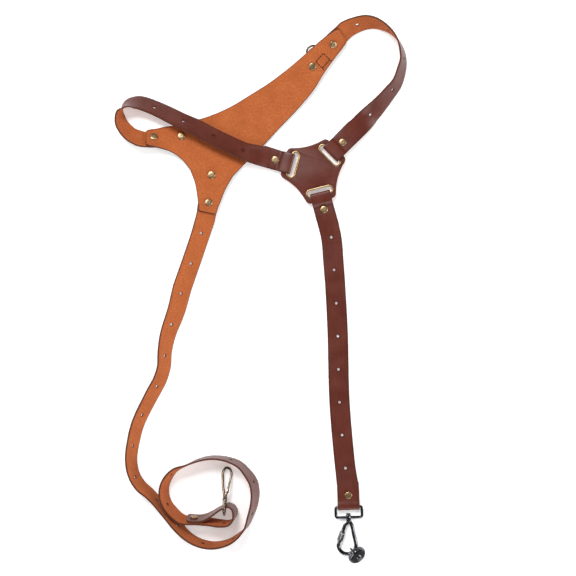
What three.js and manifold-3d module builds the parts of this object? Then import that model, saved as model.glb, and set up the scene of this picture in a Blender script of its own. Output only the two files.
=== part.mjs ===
import * as THREE from 'three';
import { mergeVertices } from 'three/addons/utils/BufferGeometryUtils.js';
import Module from 'manifold-3d';

// A leather camera shoulder harness lying on a table with the flesh side of its yoke up.
// Millimetres, +X to the right, +Y towards the shoulder end, +Z up from the table.
// The origin is on the table under the middle of the outline.

// Leather
const clearance = 0.3;
const layerGap = 0.8;
const armClearance = 0.45;
const strapWidth = 25.4;
const strapThickness = 2.2;
const strapCornerRadius = 5;
const yokeThickness = 2.4;
const plateThickness = 2.8;

// Yoke: the crotch between its two legs, and the way its long arm points
const yokeLength = 273;
const yokeX = -88.5;
const yokeY = 148.8;
const yokeTurn = 40.6;

// Chest plate with three slotted lobes
const plateX = 65.8;
const plateY = 148.2;
const plateTurn = 44.5;
const lobeReach = 39;
const lobeHalfWidth = 19.5;
const lobeCornerRadius = 6;
const lobeCornerTurn = 72;
const plateWaist = 31;
const slotReach = 27;
const slotLength = 30.6;
const slotWidth = 7;
const eyeletWall = 1;
const eyeletRim = 2.2;
const eyeletRimHeight = 0.9;

// Screws and punched holes
const screwHeadDiameter = 9.4;
const screwHeadHeight = 1.6;
const screwShankDiameter = 4.6;
const plateScrewReach = 50;
const punchDiameter = 3.6;
const punchPitch = 41.3;
const punchings = {
  right: { first: 48.4, count: 5 },
  left: { first: 42, count: 4 },
  front: { first: 35.7, count: 8 },
};
const rearPunching = { first: 40, pitch: 39.8, count: 21 };

// Front strap end: rectangular loop, swivel and carabiner
const loopX = 109;
const loopY = -270.6;
const loopTurn = -88;
const loopRod = 3.6;
const loopInnerWidth = 29.2;
const loopDrop = 13.6;
const loopCorner = 3;
const frontEndWidth = 27.2;
const frontTail = 34;
const frontScrewSetback = 14.4;
const bossDiameter = 6.4;
const bossLength = 7;
const stemDiameter = 3.2;
const collarLength = 3;
const swivelHeight = 3.5;
const carabinerTilt = 1.3;
const carabinerLength = 45;
const carabinerWidth = 23;
const carabinerRod = 4.6;
const gateLength = 22.9;
const sleeveDiameter = 7.4;
const sleeveLength = 12;
const sleeveSetback = 8.4;

// Camera fastener hanging in the carabiner
const knobDiameter = 23;
const knobHeight = 5.6;
const knobSetback = 4.6;
const knobTilt = 47;
const knobTurn = -44;
const knobEyeBore = 7.6;
const knobEyeRod = 1.8;
const padDiameter = 19;
const padThickness = 1.2;
const studDiameter = 6.3;
const studLength = 4;

// Rear strap: how far it hangs, its coil and its end loop
const rearDrop = 310;
const coilRadius = 56;
const coilX = -65;
const coilY = -262;
const endLoopLength = 60;

// Snap hook on the end loop: its eye stands upright and the hook points down to the table
const eyeX = -44.8;
const eyeY = -260.6;
const eyeHeight = 15.6;
const eyeRod = 3.4;
const eyeInnerHeight = 28;
const eyeLength = 16;
const hookTilt = 20;
const hookTurn = 87;
const hookLength = 40.6;
const hookWidth = 10.4;
const hookRod = 3.2;
const hookStem = 3;
const hookGateRod = 2.6;
const hookGateLength = 21.2;

// D-ring in its tab under the yoke's long arm
const ringWire = 2.4;
const ringWidth = 20;
const ringDepth = 15;
const ringTurn = 137;
const ringTilt = 8;
const ringSetback = 40;
const ringInset = 5.6;
const tabWidth = 13;
const tabThickness = 1.4;
const tabLength = 11;

const wasm = await Module();
wasm.setup();

const up = new THREE.Vector3(0, 0, 1);
const radians = THREE.MathUtils.degToRad;
const vector = (x, y, z) => new THREE.Vector3(x, y, z);
const along = (origin, direction, distance) => origin.clone().addScaledVector(direction, distance);
const turned = (degrees) => vector(Math.cos(radians(degrees)), Math.sin(radians(degrees)), 0);

// Solids: booleans on closed meshes

function toSolid(geometry) {
  const bare = geometry.clone();
  bare.deleteAttribute('normal');
  bare.deleteAttribute('uv');
  const merged = mergeVertices(bare, 1e-4);
  return new wasm.Manifold(new wasm.Mesh({
    numProp: 3,
    vertProperties: Float32Array.from(merged.attributes.position.array),
    triVerts: Uint32Array.from(merged.index.array),
  }));
}

function toGeometry(solid) {
  const { vertProperties, triVerts } = solid.getMesh();
  const geometry = new THREE.BufferGeometry();
  geometry.setAttribute('position', new THREE.BufferAttribute(Float32Array.from(vertProperties), 3));
  geometry.setIndex(Array.from(triVerts));
  return geometry;
}

function cut(geometry, tools) {
  return toGeometry(tools.reduce((solid, tool) => solid.subtract(toSolid(tool)), toSolid(geometry)));
}

function join(geometries) {
  const [first, ...others] = geometries.map(toSolid);
  return toGeometry(others.reduce((solid, other) => solid.add(other), first));
}

function closedGeometry(points, triangles) {
  const geometry = new THREE.BufferGeometry().setFromPoints(points);
  geometry.setIndex(triangles.flat());
  return geometry;
}

// A cylinder or cone frustum between two points
function rod(start, end, startRadius, endRadius = startRadius, sides = 12) {
  const axis = end.clone().sub(start);
  const geometry = new THREE.CylinderGeometry(endRadius, startRadius, axis.length(), sides);
  const turn = new THREE.Quaternion().setFromUnitVectors(vector(0, 1, 0), axis.clone().normalize());
  geometry.applyQuaternion(turn);
  const middle = start.clone().add(end).multiplyScalar(0.5);
  return geometry.translate(middle.x, middle.y, middle.z);
}

// A turned solid: radius and height pairs from the axis round to the axis again
function lathed(profile, origin, axis, sides) {
  const points = profile.map(([radius, height]) => new THREE.Vector2(radius, height));
  const geometry = new THREE.LatheGeometry(points, sides);
  geometry.applyQuaternion(new THREE.Quaternion().setFromUnitVectors(vector(0, 1, 0), axis));
  return geometry.translate(origin.x, origin.y, origin.z);
}

// Sheets: an open surface thickened on its upper side

function thicken(points, triangles, thickness) {
  const sheet = closedGeometry(points, triangles);
  sheet.computeVertexNormals();
  const normals = sheet.attributes.normal;
  const normal = (i) => vector(0, 0, 0).fromBufferAttribute(normals, i);
  const raised = points.map((point, i) => along(point, normal(i), thickness));
  const count = points.length;
  const faces = triangles.map(([a, b, c]) => [a + count, b + count, c + count]);
  triangles.forEach(([a, b, c]) => faces.push([c, b, a]));
  const used = new Set(triangles.flatMap(([a, b, c]) => [`${a} ${b}`, `${b} ${c}`, `${c} ${a}`]));
  for (const edge of used) {
    const [a, b] = edge.split(' ').map(Number);
    if (!used.has(`${b} ${a}`)) faces.push([a, b, b + count], [a, b + count, a + count]);
  }
  return closedGeometry([...points, ...raised], faces);
}

// Ribbons: a flat section swept along stations that say where the strap's width points

const widthOf = (knot) => knot.width ?? strapWidth;

// Knots become evenly spaced stations with a tangent, a width direction and a flesh-side normal
function stationsOf(knots, step) {
  const route = new THREE.CatmullRomCurve3(knots.map((knot) => knot.p), false, 'centripetal');
  const widths = new THREE.CatmullRomCurve3(knots.map((knot) => knot.w), false, 'catmullrom', 0.5);
  const stations = [];
  const last = knots.length - 1;
  for (let i = 0; i < last; i += 1) {
    const parts = Math.max(1, Math.round(knots[i].p.distanceTo(knots[i + 1].p) / step));
    const steps = i === last - 1 ? parts + 1 : parts;
    for (let k = 0; k < steps; k += 1) {
      const u = (i + k / parts) / last;
      const width = THREE.MathUtils.lerp(widthOf(knots[i]), widthOf(knots[i + 1]), k / parts);
      stations.push({ p: route.getPoint(u), t: route.getTangent(u), w: widths.getPoint(u), width });
    }
  }
  let distance = 0;
  stations.forEach((station, i) => {
    station.w.addScaledVector(station.t, -station.w.dot(station.t)).normalize();
    station.n = station.t.clone().cross(station.w).normalize();
    if (i > 0) distance += station.p.distanceTo(stations[i - 1].p);
    station.s = distance;
  });
  return stations;
}

// The frame of a strap at a distance along it
function frameAt(stations, distance) {
  const i = Math.max(1, stations.findIndex((station) => station.s >= distance));
  const [a, b] = [stations[i - 1], stations[i]];
  const f = (distance - a.s) / (b.s - a.s);
  const mix = (key) => a[key].clone().lerp(b[key], f);
  return { p: mix('p'), t: mix('t').normalize(), w: mix('w').normalize(), n: mix('n').normalize() };
}

function ribbon(stations, thickness, cornerRadius = 0) {
  const length = stations[stations.length - 1].s;
  const corner = (distance) => {
    const inside = Math.max(0, cornerRadius - distance);
    return cornerRadius - Math.sqrt(Math.max(0, cornerRadius ** 2 - inside ** 2));
  };
  const points = [];
  for (const { p, w, n, s, width } of stations) {
    const half = width / 2 - (cornerRadius ? 0.7 * corner(Math.min(s, length - s)) : 0);
    for (const [side, face] of [[-1, -1], [1, -1], [1, 1], [-1, 1]]) {
      points.push(along(along(p, w, side * half), n, (face * thickness) / 2));
    }
  }
  const triangles = [];
  for (let i = 0; i + 1 < stations.length; i += 1) {
    for (let j = 0; j < 4; j += 1) {
      const [a, b] = [4 * i + j, 4 * i + ((j + 1) % 4)];
      triangles.push([a, b, b + 4], [a, b + 4, a + 4]);
    }
  }
  const end = 4 * (stations.length - 1);
  triangles.push([0, 3, 2], [0, 2, 1], [end, end + 1, end + 2], [end, end + 2, end + 3]);
  return closedGeometry(points, triangles);
}

// The round section of a bent rod, swept along points in one plane or along a closed loop of them
function bentRod(points, radius, sides, normal, closed = false) {
  const count = points.length;
  const rings = points.map((point, i) => {
    const before = points[closed ? (i + count - 1) % count : Math.max(i - 1, 0)];
    const after = points[closed ? (i + 1) % count : Math.min(i + 1, count - 1)];
    const tangent = after.clone().sub(before).normalize();
    const side = tangent.clone().cross(normal).normalize();
    return Array.from({ length: sides }, (_, k) => {
      const angle = (2 * Math.PI * k) / sides;
      return along(along(point, side, radius * Math.cos(angle)), normal, radius * Math.sin(angle));
    });
  });
  const triangles = [];
  const spans = closed ? count : count - 1;
  for (let i = 0; i < spans; i += 1) {
    for (let k = 0; k < sides; k += 1) {
      const [a, b] = [i * sides + k, i * sides + ((k + 1) % sides)];
      const [c, d] = [((i + 1) % count) * sides + k, ((i + 1) % count) * sides + ((k + 1) % sides)];
      triangles.push([a, c, d], [a, d, b]);
    }
  }
  if (!closed) {
    for (let k = 1; k + 1 < sides; k += 1) {
      const end = (count - 1) * sides;
      triangles.push([0, k, k + 1], [end, end + k + 1, end + k]);
    }
  }
  return closedGeometry(rings.flat(), triangles);
}

// Materials

const leather = new THREE.MeshStandardMaterial({ color: '#74392a', roughness: 0.55, metalness: 0 });
const flesh = new THREE.MeshStandardMaterial({ color: '#bd6a3f', roughness: 0.85, metalness: 0 });
const antiqueBrass = new THREE.MeshStandardMaterial({ color: '#a98a5a', roughness: 0.35, metalness: 1 });
const gunmetal = new THREE.MeshStandardMaterial({ color: '#35353a', roughness: 0.3, metalness: 1 });
const bronze = new THREE.MeshStandardMaterial({ color: '#5a5148', roughness: 0.35, metalness: 1 });
const rubber = new THREE.MeshStandardMaterial({ color: '#191919', roughness: 0.9, metalness: 0 });

const harness = new THREE.Group();

function addPiece(name, geometry, material) {
  const flat = geometry.index ? geometry.toNonIndexed() : geometry;
  flat.computeVertexNormals();
  const mesh = new THREE.Mesh(flat, material);
  mesh.name = name;
  harness.add(mesh);
}

// Screws: a post with a low domed head at each end, clamping what lies between

const punch = (frame, radius, depth, sides) => rod(
  along(frame.p, frame.n, -depth), along(frame.p, frame.n, depth), radius, radius, sides);
const screwSides = 8;

function screwGeometry(frame, grip) {
  const inner = grip / 2;
  const outer = inner + screwHeadHeight;
  const head = screwHeadDiameter / 2;
  const post = screwShankDiameter / 2;
  const profile = [
    [0, -outer], [head * 0.75, -outer], [head, -inner], [post, -inner],
    [post, inner], [head, inner], [head * 0.75, outer], [0, outer],
  ];
  return lathed(profile, frame.p, frame.n, screwSides);
}

const screwHole = (frame) => punch(frame, screwShankDiameter / 2 + clearance, 8, screwSides);
const adjustingHole = (frame) => punch(frame, punchDiameter / 2, strapThickness * 0.8, 6);

// Yoke: one long arm that splits into two legs. Each row goes across it, from the tips inwards:
// its edge points along and to the left of the long arm from the crotch, as shares of the yoke's
// length, and how high its underside lies there, as a share of the strap's width.

const bodyRows = [
  { leftAlong: 0.928, leftSide: 0.049, leftRise: 0.74,
    rightAlong: 0.926, rightSide: -0.018, rightRise: 0.16 },
  { leftAlong: 0.883, leftSide: 0.055, leftRise: 0.66,
    rightAlong: 0.884, rightSide: -0.029, rightRise: 0.18 },
  { leftAlong: 0.827, leftSide: 0.058, leftRise: 0.57,
    rightAlong: 0.822, rightSide: -0.043, rightRise: 0.19 },
  { leftAlong: 0.75, leftSide: 0.058, leftRise: 0.46,
    rightAlong: 0.756, rightSide: -0.06, rightRise: 0.19 },
  { leftAlong: 0.652, leftSide: 0.059, leftRise: 0.3,
    rightAlong: 0.668, rightSide: -0.089, rightRise: 0.17 },
  { leftAlong: 0.538, leftSide: 0.067, leftRise: 0.15,
    rightAlong: 0.555, rightSide: -0.108, rightRise: 0.1 },
  { leftAlong: 0.431, leftSide: 0.083, leftRise: 0.07,
    rightAlong: 0.432, rightSide: -0.12, rightRise: 0.06 },
  { leftAlong: 0.331, leftSide: 0.1, leftRise: 0.05,
    rightAlong: 0.299, rightSide: -0.134, rightRise: 0.05 },
  { leftAlong: 0.244, leftSide: 0.125, leftRise: 0.07,
    rightAlong: 0.216, rightSide: -0.14, rightRise: 0.1,
    midAlong: 0.145, midSide: 0.011, midRise: 0.12 },
  { leftAlong: 0.174, leftSide: 0.152, leftRise: 0.17,
    rightAlong: 0.131, rightSide: -0.149, rightRise: 0.2,
    midAlong: 0, midSide: -0.002, midRise: 0.25 },
];
const leftLegRows = [
  { leftAlong: 0.121, leftSide: 0.176, leftRise: 0.2,
    rightAlong: 0.002, rightSide: 0.058, rightRise: 0.28 },
  { leftAlong: 0.067, leftSide: 0.205, leftRise: 0.2,
    rightAlong: -0.013, rightSide: 0.116, rightRise: 0.36 },
  { leftAlong: 0.015, leftSide: 0.235, leftRise: 0.18,
    rightAlong: -0.045, rightSide: 0.165, rightRise: 0.55 },
  { leftAlong: -0.036, leftSide: 0.266, leftRise: 0.17,
    rightAlong: -0.082, rightSide: 0.209, rightRise: 0.78 },
];
const rearLegRows = [
  { leftAlong: -0.023, leftSide: -0.062, leftRise: 0.26,
    rightAlong: 0.068, rightSide: -0.171, rightRise: 0.21 },
  { leftAlong: -0.053, leftSide: -0.112, leftRise: 0.32,
    rightAlong: 0.015, rightSide: -0.198, rightRise: 0.2 },
  { leftAlong: -0.073, leftSide: -0.142, leftRise: 0.41,
    rightAlong: -0.017, rightSide: -0.214, rightRise: 0.19 },
  { leftAlong: -0.095, leftSide: -0.169, leftRise: 0.56,
    rightAlong: -0.042, rightSide: -0.229, rightRise: 0.17 },
];
const bodyRowParts = 2;
const legRowParts = 3;
const yokeColumns = 3;
const armScrews = {
  right: { setback: 17, pitch: 37, drift: 0, swing: 0 },
  left: { setback: 9.5, pitch: 35, drift: -0.14, swing: -9 },
  rear: { setback: 12.7, pitch: 35, drift: 0, swing: 0 },
};
const armStrapMargin = 7;
const tipRun = 6;

function yokePoint(alongShare, sideShare, rise) {
  const place = turned(yokeTurn).multiplyScalar(alongShare * yokeLength);
  place.addScaledVector(turned(yokeTurn + 90), sideShare * yokeLength);
  return vector(yokeX + place.x, yokeY + place.y, rise * strapWidth);
}

const leftEdge = (row) => yokePoint(row.leftAlong, row.leftSide, row.leftRise);
const rightEdge = (row) => yokePoint(row.rightAlong, row.rightSide, row.rightRise);
const middle = (row) => (row.midAlong === undefined
  ? leftEdge(row).add(rightEdge(row)).multiplyScalar(0.5)
  : yokePoint(row.midAlong, row.midSide, row.midRise));
const edgeCurve = (points) => new THREE.CatmullRomCurve3(points, false, 'centripetal');

// A patch of the yoke's underside, by a share along its rows and a share across them
function patch(edges) {
  const curves = edges.map(edgeCurve);
  const spans = curves.length - 1;
  const point = (a, b) => {
    const column = Math.min(Math.floor(b * spans), spans - 1);
    return curves[column].getPoint(a).lerp(curves[column + 1].getPoint(a), b * spans - column);
  };
  return { point, rows: edges[0].length - 1, spans };
}

const crotchRow = bodyRows[bodyRows.length - 1];
const body = patch([bodyRows.map(leftEdge), bodyRows.map(middle), bodyRows.map(rightEdge)]);
const leftLeg = patch([
  [leftEdge(crotchRow), ...leftLegRows.map(leftEdge)],
  [middle(crotchRow), ...leftLegRows.map(rightEdge)],
]);
const rearLeg = patch([
  [middle(crotchRow), ...rearLegRows.map(leftEdge)],
  [rightEdge(crotchRow), ...rearLegRows.map(rightEdge)],
]);

function yokeSheet() {
  const points = [];
  const triangles = [];
  const addPatch = ({ point, rows, spans }, rowParts, firstRow) => {
    const steps = rows * rowParts;
    const columns = spans * yokeColumns;
    const grid = [];
    for (let i = 0; i <= steps; i += 1) {
      const shared = i === 0 && firstRow;
      grid.push(shared || Array.from({ length: columns + 1 }, (_, j) => {
        points.push(point(i / steps, j / columns));
        return points.length - 1;
      }));
    }
    for (let i = 0; i < steps; i += 1) {
      for (let j = 0; j < columns; j += 1) {
        const [a, b, c, d] = [grid[i][j], grid[i + 1][j], grid[i + 1][j + 1], grid[i][j + 1]];
        triangles.push([a, b, c], [a, c, d]);
      }
    }
    return grid[steps];
  };
  const crotch = addPatch(body, bodyRowParts);
  addPatch(leftLeg, legRowParts, crotch.slice(0, yokeColumns + 1));
  addPatch(rearLeg, legRowParts, crotch.slice(yokeColumns));
  return { points, triangles };
}

// The seat of a strap under an arm: frames on the yoke's underside, by distance from the arm's tip.
// Places on an arm are given in rows from its tip and by the share across it.
const onArm = (rows, share) => body.point(rows / body.rows, share);
const onLeg = (leg, side) => (rows, share) => (rows <= leg.rows
  ? leg.point(1 - rows / leg.rows, share)
  : body.point(1 - (rows - leg.rows) / body.rows, (share + side) / 2));

function armSeat(place, { setback, pitch, drift }, widthSign) {
  const reach = setback + pitch + armStrapMargin;
  const share = (row) => 0.5 + drift * THREE.MathUtils.smoothstep(row, 0, 2);
  const at = (row) => place(row, share(row));
  const marks = [];
  let distance = 0;
  let previous = at(0);
  for (let row = 0; distance < reach + 4; row += 0.02) {
    const here = at(row);
    distance += here.distanceTo(previous);
    marks.push({ row, distance });
    previous = here;
  }
  return (wanted) => {
    const { row } = marks[Math.max(marks.findIndex((mark) => mark.distance >= wanted), 0)];
    const across = place(row, share(row) + 0.05).sub(place(row, share(row) - 0.05)).normalize();
    const outwards = at(Math.max(row - 0.1, 0)).sub(at(row + 0.1)).normalize();
    const w = across.multiplyScalar(widthSign);
    w.addScaledVector(outwards, -w.dot(outwards)).normalize();
    return { p: at(row), t: outwards, w, n: outwards.clone().cross(w).normalize() };
  };
}

const armSeats = {
  right: armSeat(onArm, armScrews.right, -1),
  left: armSeat(onLeg(leftLeg, 0), armScrews.left, 1),
  rear: armSeat(onLeg(rearLeg, 1), armScrews.rear, 1),
};

// The screw through the yoke and the strap under it
function armScrewFrame(arm, distance) {
  const seat = armSeats[arm](distance);
  return { ...seat, p: along(seat.p, seat.n, (yokeThickness - strapThickness - layerGap) / 2) };
}

const armScrewFrames = Object.entries(armScrews).flatMap(([arm, { setback, pitch }]) => [
  { name: `yoke_screw_${arm}_outer`, frame: armScrewFrame(arm, setback) },
  { name: `yoke_screw_${arm}_inner`, frame: armScrewFrame(arm, setback + pitch) },
]);
const armGrip = yokeThickness + layerGap + strapThickness + 2 * armClearance;

const { points: yokePoints, triangles: yokeTriangles } = yokeSheet();
addPiece('back_yoke', cut(
  thicken(yokePoints, yokeTriangles, yokeThickness),
  armScrewFrames.map(({ frame }) => screwHole(frame)),
), flesh);
armScrewFrames.forEach(({ name, frame }) => addPiece(name, screwGeometry(frame, armGrip), antiqueBrass));

// Knots of a strap under its arm, from its inner end to just beyond the tip, where it swings aside
function armKnots(arm) {
  const { setback, pitch, swing } = armScrews[arm];
  const start = setback + pitch + armStrapMargin;
  const straight = setback + pitch + 2;
  const count = 16;
  const knots = Array.from({ length: count + 1 }, (_, i) => {
    const distance = start * (1 - i / count);
    const { p, t, w, n } = armSeats[arm](Math.min(distance, straight));
    const inwards = Math.min(straight - distance, 0);
    return { p: along(along(p, n, -layerGap - strapThickness / 2), t, inwards), w };
  });
  const tip = knots[count];
  const beforeTip = knots[count - 1].p;
  const turnAside = (v) => v.clone().applyAxisAngle(up, radians(swing));
  const onwards = turnAside(tip.p.clone().sub(beforeTip).normalize());
  return [...knots, { p: along(tip.p, onwards, tipRun), w: turnAside(tip.w) }];
}

// Chest plate: three lobes, each with a slot for a strap that folds through it and back under

const tailRest = screwHeadHeight + 2 * clearance;
const tailHeight = tailRest + strapThickness / 2;
const plateRest = tailRest + strapThickness + clearance;
const coverHeight = tailHeight + strapThickness + clearance;
const lobeAngles = { right: plateTurn, left: plateTurn + 120, front: plateTurn + 240 };
const plateCentre = vector(plateX, plateY, 0);

const obround = (length, width, target = new THREE.Shape()) => {
  const straight = (length - width) / 2;
  target.absarc(straight, 0, width / 2, -Math.PI / 2, Math.PI / 2, false);
  target.absarc(-straight, 0, width / 2, Math.PI / 2, (3 * Math.PI) / 2, false);
  target.closePath();
  return target;
};

const raise = (shape, height, curveSegments) => new THREE.ExtrudeGeometry(
  shape, { depth: height, bevelEnabled: false, curveSegments });

// An extrusion standing across a lobe at its slot
function atSlot(shape, height, bottom, angle) {
  const geometry = raise(shape, height, 4);
  geometry.rotateZ(radians(angle + 90));
  const centre = along(plateCentre, turned(angle), slotReach);
  return geometry.translate(centre.x, centre.y, bottom);
}

function plateShape() {
  const shape = new THREE.Shape();
  const corner = (angle, side) => {
    const inner = lobeReach - lobeCornerRadius;
    const rim = lobeHalfWidth - lobeCornerRadius;
    return turned(angle).multiplyScalar(inner).addScaledVector(turned(angle + 90), side * rim);
  };
  const angles = Object.values(lobeAngles);
  angles.forEach((angle, i) => {
    const [before, after] = [corner(angle, -1), corner(angle, 1)];
    const next = corner(angles[(i + 1) % 3], -1);
    const [turn, swing] = [radians(angle), radians(lobeCornerTurn)];
    shape.absarc(before.x, before.y, lobeCornerRadius, turn - swing, turn, false);
    shape.absarc(after.x, after.y, lobeCornerRadius, turn, turn + swing, false);
    const waist = turned(angle + 60).multiplyScalar(plateWaist);
    const nextStart = along(next, turned(angle + 120 - lobeCornerTurn), lobeCornerRadius);
    const lastEnd = along(after, turned(angle + lobeCornerTurn), lobeCornerRadius);
    const control = waist.multiplyScalar(2).addScaledVector(lastEnd.add(nextStart), -0.5);
    shape.quadraticCurveTo(control.x, control.y, nextStart.x, nextStart.y);
  });
  return shape;
}

const plateBlank = raise(plateShape(), plateThickness, 6);
plateBlank.translate(plateX, plateY, plateRest);
const sleeveLengthwise = slotLength + 2 * eyeletWall;
const sleeveAcross = slotWidth + 2 * eyeletWall;
addPiece('chest_plate', cut(plateBlank, Object.values(lobeAngles).map((angle) => atSlot(
  obround(sleeveLengthwise + 2 * clearance, sleeveAcross + 2 * clearance),
  plateThickness + 2, plateRest - 1, angle,
))), leather);

const plateTop = plateRest + plateThickness;
const rimTop = plateTop + clearance + eyeletRimHeight;
for (const [lobe, angle] of Object.entries(lobeAngles)) {
  const rim = atSlot(obround(slotLength + 2 * eyeletRim, slotWidth + 2 * eyeletRim), eyeletRimHeight,
    plateTop + clearance, angle);
  const sleeve = atSlot(obround(sleeveLengthwise, sleeveAcross), rimTop - plateRest - 0.2, plateRest, angle);
  const bore = atSlot(obround(slotLength, slotWidth), 20, plateRest - 5, angle);
  addPiece(`slot_eyelet_${lobe}`, cut(join([rim, sleeve]), [bore]), antiqueBrass);
}

// A strap's end at a lobe, coming from outside: over the lobe's end, down through the slot and back
// under as a tail. Reach is from the plate's centre and height is of the strap's middle.
const foldCorner = strapThickness / 2 + 0.5;
const foldReach = slotReach + slotWidth / 2 - 0.4 - strapThickness / 2;
const overRim = rimTop + clearance + strapThickness / 2;
const overPlate = plateTop + clearance + strapThickness / 2;
const rimReach = slotReach + slotWidth / 2 + eyeletRim;

const tails = {
  right: { length: 49, skew: 1.5 },
  left: { length: 41.5, skew: -2.6 },
  front: { length: 49, skew: 1.5 },
};

function lobeKnots(lobe) {
  const { length: tailLength, skew } = tails[lobe];
  const angle = lobeAngles[lobe];
  const w = turned(angle + 90);
  const place = (reach, height, aside = 0) => {
    const p = along(along(plateCentre, turned(angle), reach), w, aside);
    p.z = height;
    return { p, w };
  };
  const knots = [
    place(plateScrewReach + 6.5, coverHeight),
    place(plateScrewReach, coverHeight),
    place(plateScrewReach - 5.5, coverHeight + 0.1),
    place(lobeReach + 2.6, overPlate - 0.5),
    place(lobeReach - 0.6, overPlate + 0.35),
    place(rimReach + 1, overRim),
    place(foldReach + foldCorner + 1.5, overRim),
  ];
  for (const turn of [0, 30, 60, 90]) {
    const [c, s] = [Math.cos(radians(turn)), Math.sin(radians(turn))];
    knots.push(place(foldReach + foldCorner * (1 - s), overRim - foldCorner * (1 - c)));
  }
  for (const turn of [0, 30, 60, 90]) {
    const [c, s] = [Math.cos(radians(turn)), Math.sin(radians(turn))];
    knots.push(place(foldReach + foldCorner * (1 - c), tailHeight + foldCorner * (1 - s)));
  }
  const slope = Math.tan(radians(skew));
  for (const share of [0.12, 0.35, 0.6, 0.8, 0.92, 1]) {
    const reach = foldReach + share * tailLength;
    knots.push(place(reach, tailHeight, Math.max(0, reach - lobeReach) * slope));
  }
  return knots;
}

// The screw outside a lobe, through the strap and its tail
function lobeScrewFrame(lobe) {
  const p = along(plateCentre, turned(lobeAngles[lobe]), plateScrewReach);
  p.z = (tailHeight + coverHeight) / 2;
  return { p, n: up.clone() };
}
const foldGrip = 2 * strapThickness + 3 * clearance;

// Where a strap starts to lie level on its way to a lobe
const lobeGateReach = 86;
function lobeGate(lobe) {
  return along(plateCentre, turned(lobeAngles[lobe]), lobeGateReach);
}

// Straps between two places. Each row gives shares of the distance between them, along it and to
// its left, the strap's roll (0 flesh side up, 90 on edge with the flesh to the right, 180 grain
// side up, and negative the other way) and how high its lower edge lies, as a share of its width.
function routeKnots(rows, start, end, before, after) {
  const span = vector(end.x - start.x, end.y - start.y, 0);
  const left = vector(-span.y, span.x, 0);
  const places = rows.map((row) => vector(start.x, start.y, 0)
    .addScaledVector(span, row.along)
    .addScaledVector(left, row.side));
  return rolledKnots(rows, places, before, after);
}

function rolledKnots(rows, places, before, after) {
  return rows.map((row, i) => {
    const previous = i > 0 ? places[i - 1] : before;
    const next = i + 1 < places.length ? places[i + 1] : after;
    const heading = vector(next.x - previous.x, next.y - previous.y, 0).normalize();
    const roll = radians(row.roll);
    const left = up.clone().cross(heading);
    const w = left.multiplyScalar(Math.cos(roll)).addScaledVector(up, Math.sin(roll));
    const edgeLift = (strapWidth / 2) * Math.abs(Math.sin(roll));
    const faceLift = (strapThickness / 2) * Math.abs(Math.cos(roll));
    const p = places[i].clone().setZ(edgeLift + faceLift + tableGap + (row.rest ?? 0) * strapWidth);
    return { p, w };
  });
}

// Punched holes down the middle of a strap, from the screw outwards at the pitch
function punchFrames(stations, first, count, pitch) {
  return Array.from({ length: count }, (_, i) => frameAt(stations, first + i * pitch));
}

// The distance along a strap where it passes closest to a place
function nearest(stations, place) {
  return stations.reduce((best, station) => (
    station.p.distanceTo(place) < best.p.distanceTo(place) ? station : best)).s;
}

const strapStep = 8;
const frontStep = 14;
const rearStep = 13;
const tableGap = 0.25;

// Right shoulder strap: from the yoke's long arm round to the plate

const rightRows = [
  { along: -0.03, side: 0.105, roll: 50 },
  { along: -0.04, side: 0.22, roll: 58 },
  { along: -0.02, side: 0.305, roll: 68 },
  { along: 0.025, side: 0.385, roll: 79 },
  { along: 0.08, side: 0.45, roll: 88 },
  { along: 0.16, side: 0.51, roll: 96 },
  { along: 0.23, side: 0.54, roll: 101 },
  { along: 0.345, side: 0.555, roll: 108 },
  { along: 0.445, side: 0.545, roll: 111 },
  { along: 0.56, side: 0.495, roll: 117 },
  { along: 0.67, side: 0.43, roll: 120 },
  { along: 0.74, side: 0.35, roll: 125 },
  { along: 0.825, side: 0.245, roll: 131 },
  { along: 0.935, side: 0.09, roll: 148 },
  { along: 1, side: 0, roll: 165, rest: 0.09 },
];
const leftRows = [
  { along: -0.107, side: 0.036, roll: 46 },
  { along: -0.16, side: 0.077, roll: 51 },
  { along: -0.197, side: 0.12, roll: 58 },
  { along: -0.217, side: 0.178, roll: 69 },
  { along: -0.218, side: 0.227, roll: 81 },
  { along: -0.203, side: 0.26, roll: 100 },
  { along: -0.183, side: 0.288, roll: 112 },
  { along: -0.146, side: 0.316, roll: 124 },
  { along: -0.096, side: 0.33, roll: 132 },
  { along: -0.052, side: 0.334, roll: 136 },
  { along: 0.012, side: 0.325, roll: 138 },
  { along: 0.113, side: 0.298, roll: 139 },
  { along: 0.197, side: 0.27, roll: 141, rest: 0.06 },
  { along: 0.325, side: 0.22, roll: 143, rest: 0.22 },
  { along: 0.49, side: 0.168, roll: 145, rest: 0.28 },
  { along: 0.705, side: 0.088, roll: 146, rest: 0.21 },
  { along: 0.95, side: 0.006, roll: 150, rest: 0.19 },
  { along: 1.035, side: -0.012, roll: 157, rest: 0.22 },
];

// A shoulder strap's knots, then its holes counted from the plate and the solid with them cut
function shoulderStrap(arm, rows) {
  const under = armKnots(arm);
  const start = under[under.length - 1].p;
  const gate = lobeGate(arm);
  const ends = lobeKnots(arm);
  const knots = [...under, ...routeKnots(rows, start, gate, start, ends[0].p), ...ends];
  const stations = stationsOf(knots, strapStep);
  const screw = lobeScrewFrame(arm);
  const screwPlace = nearest(stations, vector(screw.p.x, screw.p.y, coverHeight));
  const cuts = [
    ...armScrewFrames.filter(({ name }) => name.includes(`_${arm}_`)).map(({ frame }) => screwHole(frame)),
    screwHole(screw),
    ...punchFrames(stations, screwPlace - punchings[arm].first, punchings[arm].count, -punchPitch)
      .map(adjustingHole),
  ];
  addPiece(`${arm}_shoulder_strap`, cut(ribbon(stations, strapThickness, strapCornerRadius), cuts), leather);
  addPiece(`plate_screw_${arm}`, screwGeometry(screw, foldGrip), antiqueBrass);
}

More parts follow.
